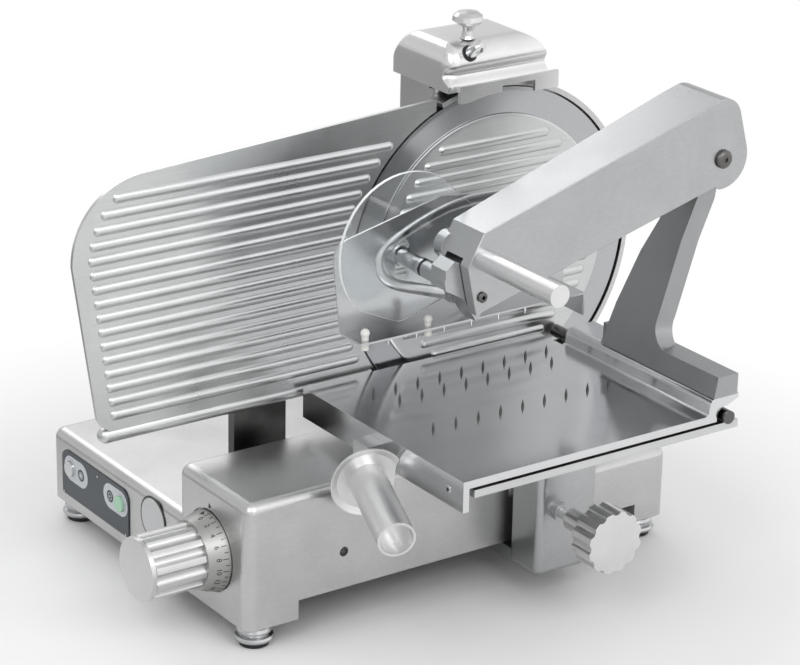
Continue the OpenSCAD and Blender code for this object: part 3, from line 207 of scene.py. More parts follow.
# Base casting, bottom sheet and column
# The base, the blade's column and the ring guard are aluminium castings, ground and glass-beaded
# to a silky grey. Their outer edges are rounded by hand on a belt, so the light runs along them.
def metal(name, colour, roughness, grain_mm=1.5, run=(1, 1, 1), mottle=0.05, relief=0.05, dark=0.9):
    """A bare metal. grain_mm is the size of the marks, drawn about four times as coarse as the real ones
    so that they show, and run stretches them along an axis."""
    made = bpy.data.materials.new(name)
    tree = emptied(made)
    place = add(tree, "ShaderNodeTexCoord")
    drawn_out = add(tree, "ShaderNodeMapping", {"Vector": place.outputs["Object"]}, Scale=run)
    fine = add(tree, "ShaderNodeTexNoise", {"Vector": drawn_out.outputs[0]}, Scale=1000 / grain_mm,
               Detail=3.0)
    broad = add(tree, "ShaderNodeTexNoise", {"Vector": place.outputs["Object"]}, Scale=18.0, Detail=4.0)
    shade = add(tree, "ShaderNodeMapRange", {"Value": broad.outputs["Fac"]}, From_Min=0.3, From_Max=0.7,
                To_Min=1 - mottle, To_Max=1 + mottle)
    gleam = add(tree, "ShaderNodeMapRange", {"Value": fine.outputs["Fac"]}, From_Min=0.3, From_Max=0.7,
                To_Min=0.0, To_Max=1.0)
    low = tuple(c * dark for c in linear(colour)[:3]) + (1,)
    tint = add(tree, "ShaderNodeMix", {"Factor": gleam.outputs[0]}, data_type="RGBA")
    tint.inputs[6].default_value = low
    tint.inputs[7].default_value = linear(colour)
    toned = add(tree, "ShaderNodeVectorMath", {0: tint.outputs[2], "Scale": shade.outputs[0]},
                operation="SCALE")
    dull = add(tree, "ShaderNodeMapRange", {"Value": broad.outputs["Fac"]}, From_Min=0.3, From_Max=0.7,
               To_Min=roughness - 0.03, To_Max=roughness + 0.05)
    height = add(tree, "ShaderNodeBump", {"Height": fine.outputs["Fac"]}, Strength=relief,
                 Distance=grain_mm / 4000)
    skin = add(tree, "ShaderNodeBsdfPrincipled",
               {"Base Color": toned.outputs[0], "Roughness": dull.outputs[0], "Normal": height.outputs[0]},
               Metallic=1.0)
    add(tree, "ShaderNodeOutputMaterial", {"Surface": skin.outputs[0]})
    return made


def coat(made, *nodes):
    """Gives CAD nodes whose shape is right their finish."""
    for name in nodes:
        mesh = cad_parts[name].data
        mesh.materials.clear()
        mesh.materials.append(made)


def finish_piece(form, name, body, made, sharp=32):
    """Turns a finished bmesh, already closed with its faces outward, into a piece on a body: smooth faces,
    sharp edges kept.
    """
    bmesh.ops.remove_doubles(form, verts=form.verts, dist=1e-6)
    for face in form.faces:
        face.smooth = True
    for edge in form.edges:
        edge.smooth = edge.is_manifold and edge.calc_face_angle(0) < math.radians(sharp)
    data = bpy.data.meshes.new(name)
    form.to_mesh(data)
    form.free()
    data.materials.append(made)
    piece = bpy.data.objects.new(name, data)
    scene.collection.objects.link(piece)
    even = piece.modifiers.new("flat_faces_stay_flat", "WEIGHTED_NORMAL")
    even.keep_sharp = True
    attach(piece, body)
    return piece


def rounded(node, name, body, made, radius_mm, keep=None, steps=3, sharp=32):
    """A copy of a CAD node with its outer edges broken to a radius; keep says which edges."""
    form = bmesh.new()
    form.from_mesh(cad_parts[node].data)
    bmesh.ops.remove_doubles(form, verts=form.verts, dist=2e-5)
    bmesh.ops.dissolve_limit(form, angle_limit=math.radians(0.4), verts=form.verts, edges=form.edges)
    edges = [e for e in form.edges if e.is_manifold and e.calc_face_angle(0) > math.radians(34)
             and (keep is None or keep(e.verts[0].co, e.verts[1].co))]
    bmesh.ops.bevel(form, geom=edges, offset=radius_mm / 1000, offset_type="OFFSET", affect="EDGES",
                    segments=steps, profile=0.5, clamp_overlap=True, material=-1)
    piece = finish_piece(form, name, body, made, sharp)
    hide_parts(node)
    return piece


# Cast and ground aluminium: silky, broad soft reflections, faint grinding marks along its length.
casting = metal("ground_cast_aluminium", "#C9C9C9", 0.32, grain_mm=1.6, run=(0.25, 1, 1), dark=0.93)
# Belt-ground casting, a shade darker: the carriage's column, the arm and the head show it.
ground_casting = metal("belt_ground_casting", "#B7B8B9", 0.3, grain_mm=1.6, run=(0.25, 1, 1), dark=0.93)
# Brushed stainless sheet: fine straight lines along X.
sheet_steel = metal("brushed_stainless_sheet", "#C4C6C7", 0.3, grain_mm=1.4, run=(0.04, 1, 1), dark=0.93)

rounded("base_casting", "base_shell", "base", casting, 1.2)
coat(sheet_steel, "bottom_plate", "motor_cover")
coat(casting, "blade_column", "ring_guard", "sharpener_bracket")

# Turned steel feet
# Each foot is turned from bar, with rings cut round it, and stands on a black rubber pad.
# Turned stainless: rings of fine tool marks and a clear highlight down one side.
turned_steel = metal("turned_stainless", "#BFC0C1", 0.22, grain_mm=1.2, run=(1, 1, 0.3), dark=0.93)
# Black rubber with fine open pores, so it never shines.
rubber = bpy.data.materials.new("moulded_rubber")
tree = emptied(rubber)
place = add(tree, "ShaderNodeTexCoord")
pores = add(tree, "ShaderNodeTexNoise", {"Vector": place.outputs["Object"]}, Scale=900.0, Detail=2.0)
height = add(tree, "ShaderNodeBump", {"Height": pores.outputs["Fac"]}, Strength=0.2, Distance=0.0002)
tone = add(tree, "ShaderNodeValToRGB", {0: pores.outputs["Fac"]})
tone.color_ramp.elements[0].color = linear("#1B1B1C")
tone.color_ramp.elements[1].color = linear("#2A2A2B")
skin = add(tree, "ShaderNodeBsdfPrincipled", {"Base Color": tone.outputs[0], "Normal": height.outputs[0]},
           Roughness=0.75)
add(tree, "ShaderNodeOutputMaterial", {"Surface": skin.outputs[0]})
coat(turned_steel, "feet", "guide_bars", "blade_spindle", "blade_screws", "motor_shaft", "cover_tie_rod",
     "knob_shaft", "gauge_slide", "spindle_bearings")
coat(rubber, "foot_pads", "drive_belt")

# Inner parts
# Pulleys, blocks and the motor's can are machined; bushes and the scroll cam are bronze.
# Milled aluminium as it leaves the machine, with a dull even sheen.
plain = metal("machined_aluminium", "#B4B5B5", 0.35, grain_mm=1.5, dark=0.92)
coat(plain, "blade_pulley", "motor_pulley", "gauge_guide", "slide_block")
# Pressed bronze powder: brown, matt and slightly patchy with oil.
bronze = metal("sintered_bronze", "#A07B45", 0.45, grain_mm=1.0, mottle=0.1)
coat(bronze, "slide_bushes", "rod_bushes", "scroll_cam")
# Steel blackened in salts: dark and uneven, with a soft grey shine.
black_steel = metal("blackened_steel", "#6A6968", 0.33, grain_mm=1.5, run=(1, 1, 0.2), mottle=0.25)
coat(black_steel, "gauge_support", "motor_housing")
# Bar darkened by years of oil, with a clear line of light along it.
oiled_steel = metal("oiled_dark_steel_bar", "#686766", 0.25, grain_mm=1.2, run=(1, 0.2, 1), mottle=0.1)
coat(oiled_steel, "guide_rod")


def moulded(name, colour, roughness, grain_mm=0.4, relief=0.1):
    """A moulded plastic: an even colour with a fine grain."""
    made = bpy.data.materials.new(name)
    tree = emptied(made)
    place = add(tree, "ShaderNodeTexCoord")
    grain = add(tree, "ShaderNodeTexNoise", {"Vector": place.outputs["Object"]}, Scale=1000 / grain_mm,
                Detail=2.0)
    tone = add(tree, "ShaderNodeValToRGB", {0: grain.outputs["Fac"]})
    tone.color_ramp.elements[0].color = tuple(c * 0.9 for c in linear(colour)[:3]) + (1,)
    tone.color_ramp.elements[1].color = linear(colour)
    height = add(tree, "ShaderNodeBump", {"Height": grain.outputs["Fac"]}, Strength=relief,
                 Distance=grain_mm / 4000)
    skin = add(tree, "ShaderNodeBsdfPrincipled",
               {"Base Color": tone.outputs[0], "Normal": height.outputs[0]}, Roughness=roughness)
    add(tree, "ShaderNodeOutputMaterial", {"Surface": skin.outputs[0]})
    return made


# Glass-filled nylon: nearly black, with a half-matt moulded skin.
black_nylon = moulded("black_glass_filled_nylon", "#202122", 0.5)
coat(black_nylon, "cable_gland", "cover_release_knob")
# White acetal looks waxy, between matt and glossy, and the board is lacquered green and glossy.
coat(moulded("white_acetal", "#E6E6E2", 0.35), "glide_strips", "ball_pins")
coat(moulded("lacquered_board", "#1E6B3A", 0.25), "circuit_board")

# Control panel
# A printed film panel on the base's left wall, with a chromed stop button and a green start button.
# Each button shares a pale printed pill with a round disc that carries its plain symbol.
# Dark blue-grey film with a smooth, faintly glossy face.
panel_film = moulded("printed_polyester_film", "#3A4147", 0.22, grain_mm=0.25, relief=0.05)
rounded("control_panel", "control_panel_film", "base", panel_film, 0.4, steps=2)
# Screen-printing inks, matter than the film that they lie on.
pale_print = moulded("pale_screen_print", "#C9CED3", 0.4)
dark_print = moulded("dark_screen_print", "#23282C", 0.35)
left_wall_x, panel_thick, pill_lift = -384, 1.5, 0.25
panel_x = left_wall_x - panel_thick
button_z = -239


def print_pill(name, middle_y, half, radius):
    """The pale patch printed behind a button and its symbol: two half rounds joined across Y."""
    form = bmesh.new()
    for side in (-half, half):
        bmesh.ops.create_circle(form, segments=40, radius=radius / 1000, cap_ends=False,
                                matrix=Matrix.Translation(at(panel_x, middle_y + side, button_z))
                                @ Matrix.Rotation(math.radians(-90), 4, "Y"))
    hull = bmesh.ops.convex_hull(form, input=form.verts)
    inside = [g for g in hull["geom_interior"] if isinstance(g, bmesh.types.BMVert)]
    bmesh.ops.delete(form, geom=inside, context="VERTS")
    bmesh.ops.dissolve_limit(form, angle_limit=0.01, verts=form.verts, edges=form.edges)
    while len(form.faces) > 1:
        bmesh.ops.delete(form, geom=[form.faces[0]], context="FACES_ONLY")
        form.faces.ensure_lookup_table()
    grown = bmesh.ops.extrude_face_region(form, geom=form.faces[:])
    bmesh.ops.translate(form, verts=[g for g in grown["geom"] if isinstance(g, bmesh.types.BMVert)],
                        vec=(-pill_lift / 1000, 0, 0))
    bmesh.ops.recalc_face_normals(form, faces=form.faces)
    return finish_piece(form, name, "base", pale_print)


def disc_x(name, y, z, radius, x, thick, made, edge=0.3):
    """A thin round disc on the base that faces left, with its rim broken."""
    form = bmesh.new()
    bmesh.ops.create_cone(form, cap_ends=True, segments=48, radius1=radius / 1000, radius2=radius / 1000,
                          depth=thick / 1000, matrix=Matrix.Translation(at(x - thick / 2, y, z))
                          @ Matrix.Rotation(math.radians(90), 4, "Y"))
    rims = [e for e in form.edges if e.calc_face_angle(0) > 1.2]
    bmesh.ops.bevel(form, geom=rims, offset=edge / 1000, affect="EDGES", segments=2, profile=0.5,
                    material=-1)
    return finish_piece(form, name, "base", made)


def turned(profile, stand, closed=True, steps=48):
    """A form turned about Z from points (radius, height) in mm, then moved by the matrix stand."""
    form = bmesh.new()
    corners = [form.verts.new((r / 1000, 0, h / 1000)) for r, h in profile]
    next_ones = corners[1:] + corners[:1] if closed else corners[1:]
    sides = [form.edges.new(pair) for pair in zip(corners, next_ones)]
    bmesh.ops.spin(form, geom=corners + sides, cent=(0, 0, 0), axis=(0, 0, 1), angle=math.tau, steps=steps,
                   use_merge=True)
    bmesh.ops.remove_doubles(form, verts=form.verts, dist=1e-6)
    bmesh.ops.recalc_face_normals(form, faces=form.faces)
    form.transform(stand)
    return form


# Chromed brass: nearly a mirror, for the collars, the stop button and the sharpener's button.
chrome = metal("chromed_brass", "#D6D7D8", 0.1, grain_mm=2.0, mottle=0.02, relief=0.0, dark=0.98)
inner, outer, thick, edge = 8.75, 10.6, 1.1, 0.3
collar = ((inner, 0), (outer, 0), (outer, thick - edge), (outer - edge, thick), (inner + edge, thick),
          (inner, thick - edge))
pill_half, pill_radius = 11, 14
# Where the button and its symbol are along Y, and the radius of the dot or disc in the symbol's middle.
for label, y, symbol_y, mark in (("stop", 212.5, 190.5, 2.6), ("start", 106.5, 128.5, 1.3)):
    print_pill(label + "_pill_print", (y + symbol_y) / 2, pill_half, pill_radius)
    # Four layers of ink: how wide, how far from the film, how thick and how broken at the rim.
    for layer, radius, lift, layer_thick, ink, rim in (
            ("disc", 6.6, 0.25, 0.12, dark_print, 0.04), ("ring", 4.2, 0.37, 0.1, pale_print, 0.03),
            ("ground", 3.4, 0.47, 0.1, dark_print, 0.03), ("centre", mark, 0.57, 0.1, pale_print, 0.03)):
        disc_x("%s_symbol_%s" % (label, layer), symbol_y, button_z, radius, panel_x - lift, layer_thick, ink,
               edge=rim)
    stand = (Matrix.Translation(at(panel_x - pill_lift, y, button_z))
             @ Matrix.Rotation(math.radians(-90), 4, "Y"))
    finish_piece(turned(collar, stand), label + "_button_collar", "base", chrome)

pin_radius, pin_stands_out = 1.5, 0.5
for i, (y, z) in enumerate(((229, -271), (155, -227), (97, -271))):
    disc_x("panel_pin_%d" % i, y, z, pin_radius, panel_x, pin_stands_out, turned_steel,
           edge=0.2)

# Frosted polycarbonate: an even pale green with a soft gloss.
green_cap = moulded("frosted_green_polycarbonate", "#A9D3B8", 0.2)
rounded("stop_button", "stop_button_cap", "stop", chrome, 1.4)
rounded("start_button", "start_button_cap", "start", green_cap, 1.4)

# Round plate beside the panel
# A plain enamelled disc with a dark printed rim, glued to the base's left wall. It is left bare.
plate_y, plate_z, plate_thick = 42, -232, 0.8
disc_x("side_plate_rim", plate_y, plate_z, 25, left_wall_x, plate_thick, dark_print, edge=0.3)
# Smooth pale grey enamel, a little glossy.
enamel = moulded("pale_grey_enamel", "#C6C7C8", 0.3)
disc_x("side_plate_face", plate_y, plate_z, 22.6, left_wall_x - plate_thick, 0.25, enamel,
       edge=0.1)

# Thickness knob and dial
# The knob and the dial are turned from aluminium bar and clear anodised; the knob's flutes are milled.
# The dial's cone carries engraved graduations of about half a millimetre, filled with black, and every
# second one is numbered.
# Turned and anodised bar: pale, with soft highlights down its flutes.
turned_bar = metal("turned_anodised_aluminium", "#CFCFCF", 0.3, grain_mm=1.4, run=(1, 0.3, 0.3), relief=0.02,
                   dark=0.97)
# Satin anodising, dull enough for the marks to be read.
dial_metal = metal("satin_anodised_dial", "#ABABA9", 0.38, grain_mm=1.2, dark=0.95)
# A lighter copy of the turned bar for the lock knob and the handles: painted light.
lit_turned_bar = metal("turned_aluminium_painted_light", "#DDDDDD", 0.3, grain_mm=1.4, run=(1, 0.3, 0.3), relief=0.02,
                   dark=0.97)
rounded("thickness_knob", "thickness_knob_grip", "thickness_control", turned_bar, 1.0,
        steps=2)
rounded("thickness_dial", "thickness_dial_ring", "thickness_control", dial_metal, 0.5, steps=2)
# Black paint wiped into the engraving, matt beside the metal.
black_fill = moulded("black_engraving_fill", "#18191A", 0.5)
dial_axis_y, dial_axis_z = -68, -222
# The cone at its wall side and at its knob side: where it is along X, and its radius.
cone_near, cone_far = (left_wall_x - 2.5, 41.5), (left_wall_x - 22.5, 35.5)
slope = math.atan2(cone_near[1] - cone_far[1], cone_near[0] - cone_far[0])


def on_dial(turn, along):
    """The stand of a mark on the dial's cone, as a matrix: X round the dial, Y up the cone, Z outwards.
    turn is clockwise from the top as the operator sees it, and along is 0 at the wall side."""
    a = math.radians(turn)
    out = Vector((0, -math.sin(a), math.cos(a)))
    x = cone_near[0] + (cone_far[0] - cone_near[0]) * along
    r = cone_near[1] + (cone_far[1] - cone_near[1]) * along
    across = Vector((0, -math.cos(a), -math.sin(a)))
    up = (Vector((math.cos(slope), 0, 0)) + out * math.sin(slope)).normalized()
    stand = Matrix((across, up, across.cross(up))).transposed().to_4x4()
    stand.translation = at(x, dial_axis_y, dial_axis_z) + out * (r / 1000)
    return stand


# Degrees from one graduation to the next, and from the top to the zero.
division, zero_turn = 9.35, 5
graduations = 32
tick_wide, tick_high = 0.0007, 0.00025
ticks = bmesh.new()
for i in range(graduations):
    along, tick_long = (0.15, 0.006) if i % 2 == 0 else (0.09, 0.004)
    bmesh.ops.create_cube(ticks, size=1, matrix=on_dial(zero_turn + i * division, along)
                          @ Matrix.Diagonal((tick_wide, tick_long, tick_high, 1)))
finish_piece(ticks, "dial_graduations", "thickness_control", black_fill)


def drawn(curve):
    """The mesh that a curve or a text draws. The curve itself is removed."""
    holder = bpy.data.objects.new(curve.name, curve)
    scene.collection.objects.link(holder)
    bpy.context.view_layer.update()
    mesh = bpy.data.meshes.new_from_object(holder.evaluated_get(bpy.context.evaluated_depsgraph_get()))
    bpy.data.objects.remove(holder)
    bpy.data.curves.remove(curve)
    return mesh


numbers = bmesh.new()
for number in range(0, graduations, 2):
    words = bpy.data.curves.new("dial_number", "FONT")
    words.body = str(number)
    words.size = 0.0075
    words.extrude = 0.00012
    words.align_x = "CENTER"
    words.align_y = "CENTER"
    mesh = drawn(words)
    mesh.transform(on_dial(zero_turn + number * division, 0.5))
    numbers.from_mesh(mesh)
    bpy.data.meshes.remove(mesh)
finish_piece(numbers, "dial_numbers", "thickness_control", black_fill)


# Zero marks
# A triangle on the dial before its zero, and one on the base's wall above the dial.
def triangle(name, body, radius, stand):
    form = bmesh.new()
    bmesh.ops.create_cone(form, cap_ends=True, segments=3, radius1=radius, radius2=radius, depth=0.0003,
                          matrix=stand)
    finish_piece(form, name, body, black_fill)


triangle("dial_zero_mark", "thickness_control", 0.0036,
         on_dial(zero_turn - 9, 0.2) @ Matrix.Rotation(math.radians(-90), 4, "Z"))
triangle("zero_mark", "base", 0.003, Matrix.Translation(at(left_wall_x - 0.1, dial_axis_y, dial_axis_z + 47))
         @ Matrix.Rotation(math.radians(90), 4, "Y") @ Matrix.Rotation(math.radians(60), 4, "Z"))

# Blade and its cover
# The blade is ground and chromed tool steel. The ribbed cover in front of it is turned and anodised,
# held from behind by the tie rod, with its ribs in line with those of the gauge plate.
# Ground and chromed steel: cool grey and smooth, it mirrors what stands before it a little blurred.
blade_steel = metal("ground_chromed_steel", "#B4B6B8", 0.2, grain_mm=1.6, mottle=0.03, relief=0.03,
                    dark=0.95)
coat(blade_steel, "blade")
# Brushed and anodised aluminium: long fine lines along X, so each rib holds one clean highlight.
anodised = metal("brushed_anodised_aluminium", "#CFD0D0", 0.3, grain_mm=1.4, run=(0.03, 1, 1), relief=0.06,
                 dark=0.92)
coat(anodised, "lower_plate")
cover_face_y = -2.5


def rib_root(a, b):
    """The crease where a rib meets the sheet that it stands on, on the gauge plate or the cover."""
    return any(all(abs(p.y - at(0, face, 0).y) < 0.00012 for p in (a, b)) for face in (0, cover_face_y))


root_radius = 1.3
rounded("blade_cover", "blade_cover_plate", "base", anodised, root_radius,
        keep=rib_root, sharp=50)
rib_radius, rib_axis_y, rib_foot_y = 6, 0.5, cover_face_y + 0.1
for i, (height, half) in enumerate(((-87.8, 83), (-102.6, 69))):
    # The two lowest ribs: a capsule along X, of which only the part that stands out of the sheet is kept.
    rib = bmesh.new()
    bmesh.ops.create_uvsphere(rib, u_segments=32, v_segments=17, radius=rib_radius / 1000)
    for vert in rib.verts:
        vert.co.z += math.copysign(half / 1000, vert.co.z)
    rib.transform(Matrix.Translation(at(0, rib_axis_y, height)) @ Matrix.Rotation(math.radians(90), 4, "Y"))
    bmesh.ops.bisect_plane(rib, geom=rib.verts[:] + rib.edges[:] + rib.faces[:], dist=1e-7,
                           plane_co=at(0, rib_foot_y, 0), plane_no=(0, 1, 0), clear_outer=True)
    bmesh.ops.holes_fill(rib, edges=[e for e in rib.edges if e.is_boundary], sides=0)
    bmesh.ops.recalc_face_normals(rib, faces=rib.faces)
    finish_piece(rib, "blade_cover_low_rib_%d" % i, "base", anodised)

# Gauge plate
# A casting with sixteen round ribs, brushed along its length and anodised; its lower edge is rolled.
rounded("gauge_plate", "gauge_plate_casting", "gauge", anodised, root_radius,
        keep=rib_root, sharp=50)

# Sharpener
# A hood of cast aluminium over two stones, held by a turned knob, with a push button in its front.
# The casting is polished, so the roll throws one bright line.
hood_metal = metal("polished_cast_aluminium", "#DEDEDE", 0.3, grain_mm=1.6, run=(0.25, 1, 1), mottle=0.03,
                   dark=0.96)
hood = bmesh.new()
hood.from_mesh(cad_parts["sharpener_hood"].data)
bmesh.ops.remove_doubles(hood, verts=hood.verts, dist=2e-5)
bmesh.ops.dissolve_limit(hood, angle_limit=math.radians(0.4), verts=hood.verts, edges=hood.edges)


def cut_hood(place, normal):
    bmesh.ops.bisect_plane(hood, geom=hood.verts[:] + hood.edges[:] + hood.faces[:], dist=1e-6,
                           plane_co=place, plane_no=normal)


hood_left, hood_front, hood_back = at(-66, 0, 0).x, at(0, -10, 0).y, at(0, 30, 0).y
# Between these two levels the left end leans in towards the top.
lean_low, lean_high = at(0, 0, 190).z, max(v.co.z for v in hood.verts)
groove_low, groove_high = at(0, 0, 187.6).z, at(0, 0, 207).z
groove_depth, groove_reach, roll_fade, end_radius = 0.0062, 0.012, 0.012, 0.015
end_cuts, groove_cuts = 8, 12
for i in range(end_cuts + 1):
    step = end_radius * (1 - math.cos(math.radians(90 * i / end_cuts)))
    cut_hood((hood_left + step, 0, 0), (1, 0, 0))
for i in range(groove_cuts + 1):
    cut_hood((0, 0, groove_low + (groove_high - groove_low) * i / groove_cuts), (0, 0, 1))


def share_of(value, start, end):
    """How far value is from start to end, kept between 0 and 1."""
    return min(1.0, max(0.0, (value - start) / (end - start)))


# The left end is rounded off broadly, along a quarter circle, drawn in from the front and from the top.
for vert in hood.verts:
    inset = (vert.co.x - hood_left) / end_radius
    if inset < 1:
        draw_in = end_radius * (1 - math.sqrt(1 - (1 - max(0.0, inset)) ** 2))
        roll = share_of(vert.co.z, groove_low, groove_low + roll_fade)
        vert.co.y += roll * draw_in * share_of(vert.co.y, hood_back, hood_front)
        vert.co.z -= draw_in * share_of(vert.co.z, lean_low, lean_high)
# A hollow runs along the front under the roll, so that the skirt below it stands out as a ledge.
for vert in hood.verts:
    share = (vert.co.z - groove_low) / (groove_high - groove_low)
    reach = max(0.0, 1 - (vert.co.y - hood_front) / groove_reach)
    if 0 < share < 1 and reach > 0:
        vert.co.y += groove_depth * math.sin(math.pi * share) ** 1.5 * min(1.0, reach * 1.4)
bmesh.ops.triangulate(hood, faces=[f for f in hood.faces if len(f.verts) > 4])
piece = finish_piece(hood, "sharpener_hood_shell", "base", hood_metal, sharp=40)
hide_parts("sharpener_hood")
coat(turned_bar, "sharpener_knob")
coat(chrome, "sharpening_button")


def facing(place, way):
    """A matrix that sets a form at a place with its own Z along way."""
    return Matrix.Translation(place) @ Vector(way).to_track_quat("Z", "Y").to_matrix().to_4x4()


# Painted shade: a black ring round the sharpening button stands for the dark gap in the hood's hole round
# it.
tilt = math.radians(33)
inner, outer, low, high, edge = 6.65, 8.6, 19.5, 22.4, 0.3
shade_ring = ((inner, low), (outer, low), (outer, high - edge), (outer - edge, high), (inner, high))
finish_piece(turned(shade_ring, facing(at(-38, 12, 207), (0, -math.cos(tilt), math.sin(tilt)))),
             "sharpening_button_shade_ring", "base", black_nylon)
# The stones are matt and coarse, the grinding stone grey and the honing stone brown.
coat(moulded("grey_bonded_abrasive", "#5A5A5C", 0.9, grain_mm=0.8, relief=0.6), "grinding_stone")
coat(moulded("brown_bonded_abrasive", "#7A5A45", 0.9, grain_mm=0.6, relief=0.5), "honing_stone")

# Carriage
# The column is a casting that passes under the base; it carries the lower plate and the guide rod.
rounded("carriage_column", "carriage_column_casting", "carriage", ground_casting, 3.0)

# Lock knob
# Turned from bar with milled flutes, like the thickness knob, on a threaded stem.
# Painted light: the knob takes the lighter copy of the turned bar.
rounded("lock_knob", "lock_knob_grip", "carriage_lock", lit_turned_bar, 1.2, steps=2)

# Product plate
# Aluminium plate polished nearly to a mirror, with three rows of steel spikes pressed in.
# Polished aluminium: it mirrors the gauge plate and the cover, drawn out a little along Y.
mirror_plate = metal("polished_aluminium_plate", "#D6D7D8", 0.14, grain_mm=1.5, run=(1, 0.05, 1),
                     mottle=0.03, relief=0.02, dark=0.95)
rounded("product_plate", "product_plate_top", "tray", mirror_plate, 0.8)
coat(turned_steel, "arm_pivot_pin", "press_stud")
# Hardened steel spikes, left dark from the furnace.
coat(metal("hardened_dark_steel", "#5C5B5A", 0.35, grain_mm=0.8, mottle=0.1), "plate_spikes")
# Painted light: the handles take the lighter copy of the turned bar.
coat(lit_turned_bar, "plate_handle", "arm_handle")

# Post and press arm
# The post and the hollow arm are castings, with their edges softly rounded. The arm is ground smooth.
# For the post, a darker copy of the casting: painted shade, as the post stands in shade under the arm. It
# keeps a soft even sheen.
shaded_post_casting = metal("post_casting_painted_shade", "#A4A5A6", 0.34, grain_mm=1.5, dark=0.93)
rounded("arm_post", "arm_post_casting", "tray", shaded_post_casting, 3.0)

# The arm's front and rear faces along Y.
arm_sides = (-215.05, -146.9)


def outer_edge(a, b):
    """An edge that lies in one of the arm's two side faces."""
    return all(any(abs(p.y - at(0, side, 0).y) < 0.0002 for side in arm_sides) for p in (a, b))


rounded("press_arm", "press_arm_casting", "arm", ground_casting, 3.0, keep=outer_edge)

# Press head and press plate
# The head is a casting with its corners rounded off, and the plate that holds the food hangs from its stud.
rounded("press_head", "press_head_casting", "head", ground_casting, 4.0, steps=4)
# Pressed from bright rolled sheet, so it mirrors more sharply than the brushed pieces behind it.
bright_sheet = metal("bright_rolled_sheet", "#C3C4C5", 0.2, grain_mm=1.4, run=(0.05, 1, 1), mottle=0.04,
                     dark=0.94)
rounded("press_plate", "press_plate_sheet", "press", bright_sheet, 0.5, steps=2)

# Guard
# A clear sheet between the operator's hand and the press plate, cut to a round top and a straight foot.
# Clear cast acrylic: colourless and glossy, with the faint haze of handling.
acrylic = bpy.data.materials.new("clear_acrylic_sheet")
tree = emptied(acrylic)
place = add(tree, "ShaderNodeTexCoord")
haze = add(tree, "ShaderNodeTexNoise", {"Vector": place.outputs["Object"]}, Scale=30.0, Detail=3.0)
wiped = add(tree, "ShaderNodeMapRange", {"Value": haze.outputs["Fac"]}, From_Min=0.35, From_Max=0.7,
            To_Min=0.01, To_Max=0.05)
skin = add(tree, "ShaderNodeBsdfPrincipled", {"Roughness": wiped.outputs[0]}, Base_Color=linear("#F4F7F8"),
           IOR=1.49)
skin.inputs["Transmission Weight"].default_value = 1.0
add(tree, "ShaderNodeOutputMaterial", {"Surface": skin.outputs[0]})
guard = rounded("clear_guard", "clear_guard_sheet", "head", acrylic, 0.5, steps=2)
# The edge of the sheet is sawn and flamed. Its faces get an opaque pale finish, a painted highlight for the
# light that the edge gathers, so it shows as a pale line.
guard.data.materials.append(moulded("acrylic_edge_painted_highlight", "#F0F4F4", 0.2))
for face in guard.data.polygons:
    if abs(face.normal.y) < 0.9:
        face.material_index = 1


# Screws at the arm, the head and the plate's flange
# Button heads with a round socket in the crown. The two in the arm are blackened.
def domed_screw(name, place, way, radius, high, socket, body, made=turned_steel):
    """radius and high are the head's and socket is the hole's radius, in mm. way is where the head looks."""
    profile = ((0, high - socket * 0.8), (socket * 0.9, high - socket * 0.8), (socket, high - 0.15),
               (radius * 0.62, high), (radius * 0.86, high * 0.72), (radius, high * 0.2), (radius, 0),
               (0, 0))
    finish_piece(turned(profile, facing(place, way), closed=False, steps=40), name, body, made,
                 sharp=40)


domed_screw("arm_pivot_screw", at(125, -217, 137), (0, -1, 0), 9.5, 3.2, 2.4, "arm", black_steel)
domed_screw("head_pin_screw", at(-169, -216.5, 48), (0, -1, 0), 5.2, 1.6, 2.0, "arm", black_steel)
domed_screw("flange_screw", at(-236.8, -262, -118), (-1, 0, 0), 4.2, 1.2, 1.8, "tray")

# Bead
# A raised bead stiffens the press plate round its slot. It is pressed out of the sheet, so it is half as
# high as it is wide.
bead_radius, bead_squash, sheet_front_y, bead_line_y = 6, 0.5, -115, -114.7
bead = bpy.data.curves.new("press_plate_bead", "CURVE")
bead.dimensions = "3D"
bead.bevel_depth = bead_radius / 1000
bead.bevel_resolution = 4
bead.resolution_u = 8
bead.use_fill_caps = True
line = bead.splines.new("NURBS")
way_round = ((-60, 104), (-118, 109), (-150, 103), (-186, 90), (-212, 78), (-223, 64), (-216, 46),
             (-200, 35), (-171, 26), (-140, 15), (-110, 6))
line.points.add(len(way_round) - 1)
for point, (x, z) in zip(line.points, way_round):
    point.co = (*at(x, bead_line_y, z), 1)
line.use_endpoint_u = True
line.order_u = 4
form = bmesh.new()
form.from_mesh(drawn(bead))
sheet_y = at(0, sheet_front_y, 0).y
for vert in form.verts:
    vert.co.y = sheet_y + (vert.co.y - sheet_y) * bead_squash
finish_piece(form, "press_plate_bead", "press", bright_sheet)
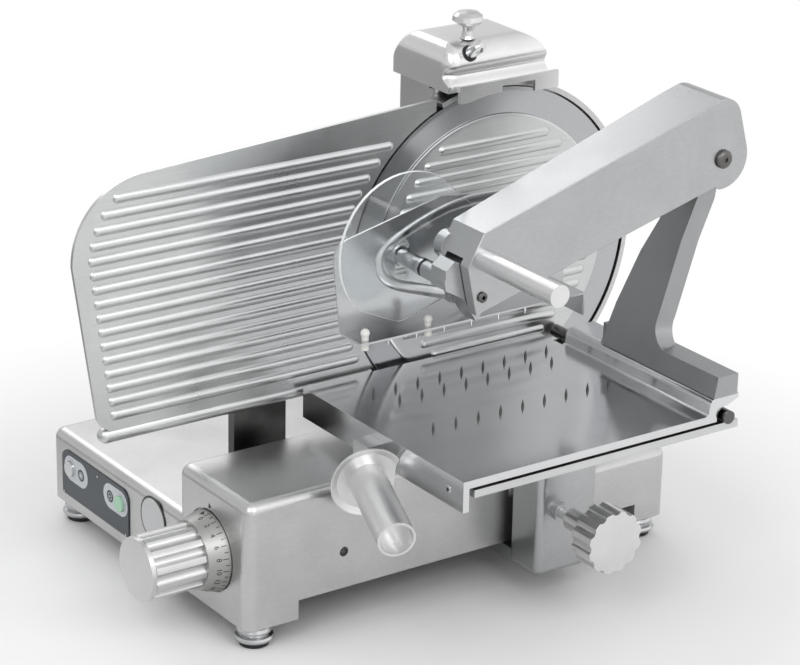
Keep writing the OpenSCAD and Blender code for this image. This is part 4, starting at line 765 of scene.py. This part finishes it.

# Rear fittings
# The motor's sheet cover has pressed louvres for cooling air. Under each lies a thin black strip, painted
# shade for the opening behind the louvre.
cover_back_y, louvre_count, louvre_pitch, louvre_low, slot_low = 208, 9, 11, -176, -179.2
louvre_radius, louvre_long, louvre_squash = 0.0026, 0.078, 0.55
slot_long, slot_thick, slot_wide = 0.072, 0.0003, 0.0022
louvres, slot_shades = bmesh.new(), bmesh.new()
for i in range(louvre_count):
    placed = bmesh.ops.create_cone(louvres, cap_ends=True, segments=24, radius1=louvre_radius,
                                   radius2=louvre_radius, depth=louvre_long)
    bmesh.ops.scale(louvres, vec=(1, louvre_squash, 1), verts=placed["verts"])
    bmesh.ops.transform(louvres, verts=placed["verts"], matrix=Matrix.Translation(
        at(0, cover_back_y + 0.1, louvre_low + i * louvre_pitch))
        @ Matrix.Rotation(math.radians(90), 4, "Y") @ Matrix.Rotation(math.radians(90), 4, "Z"))
    bmesh.ops.create_cube(slot_shades, size=1, matrix=Matrix.Translation(
        at(0, cover_back_y + 0.05, slot_low + i * louvre_pitch))
        @ Matrix.Diagonal((slot_long, slot_thick, slot_wide, 1)))
finish_piece(louvres, "motor_cover_louvres", "base", sheet_steel)
# Painted shade: thin black strips where the openings under the louvres lie in shade.
finish_piece(slot_shades, "motor_cover_slot_shades", "base", black_nylon)

# Rear screws
# Button heads, each sunk 0.1 mm into the face that it holds.
rearwards = (0, 1, 0)
for i, (x, z) in enumerate(((-53, -190), (53, -190), (-53, -82), (53, -82))):
    domed_screw("motor_cover_screw_%d" % i, at(x, cover_back_y - 0.1, z), rearwards, 3.6, 1.8, 1.4, "base")
lid_back_y, lid_screw_ring = 79, 62
for i in range(4):
    a = math.radians(45 + 90 * i)
    place = at(lid_screw_ring * math.cos(a), lid_back_y - 0.1, lid_screw_ring * math.sin(a))
    domed_screw("lid_screw_%d" % i, place, rearwards, 3.4, 1.7, 1.3, "base")
support_back_y, bracket_back_y = 25.5, 84.7
for i, x in enumerate((-294, -254)):
    domed_screw("gauge_screw_%d" % i, at(x, support_back_y - 0.1, -95), rearwards, 4.2, 2.2, 1.7, "gauge")
for i, x in enumerate((-46, 40)):
    domed_screw("bracket_screw_%d" % i, at(x, bracket_back_y - 0.1, 150), rearwards, 4.2, 2.2, 1.7, "base")

low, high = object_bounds()
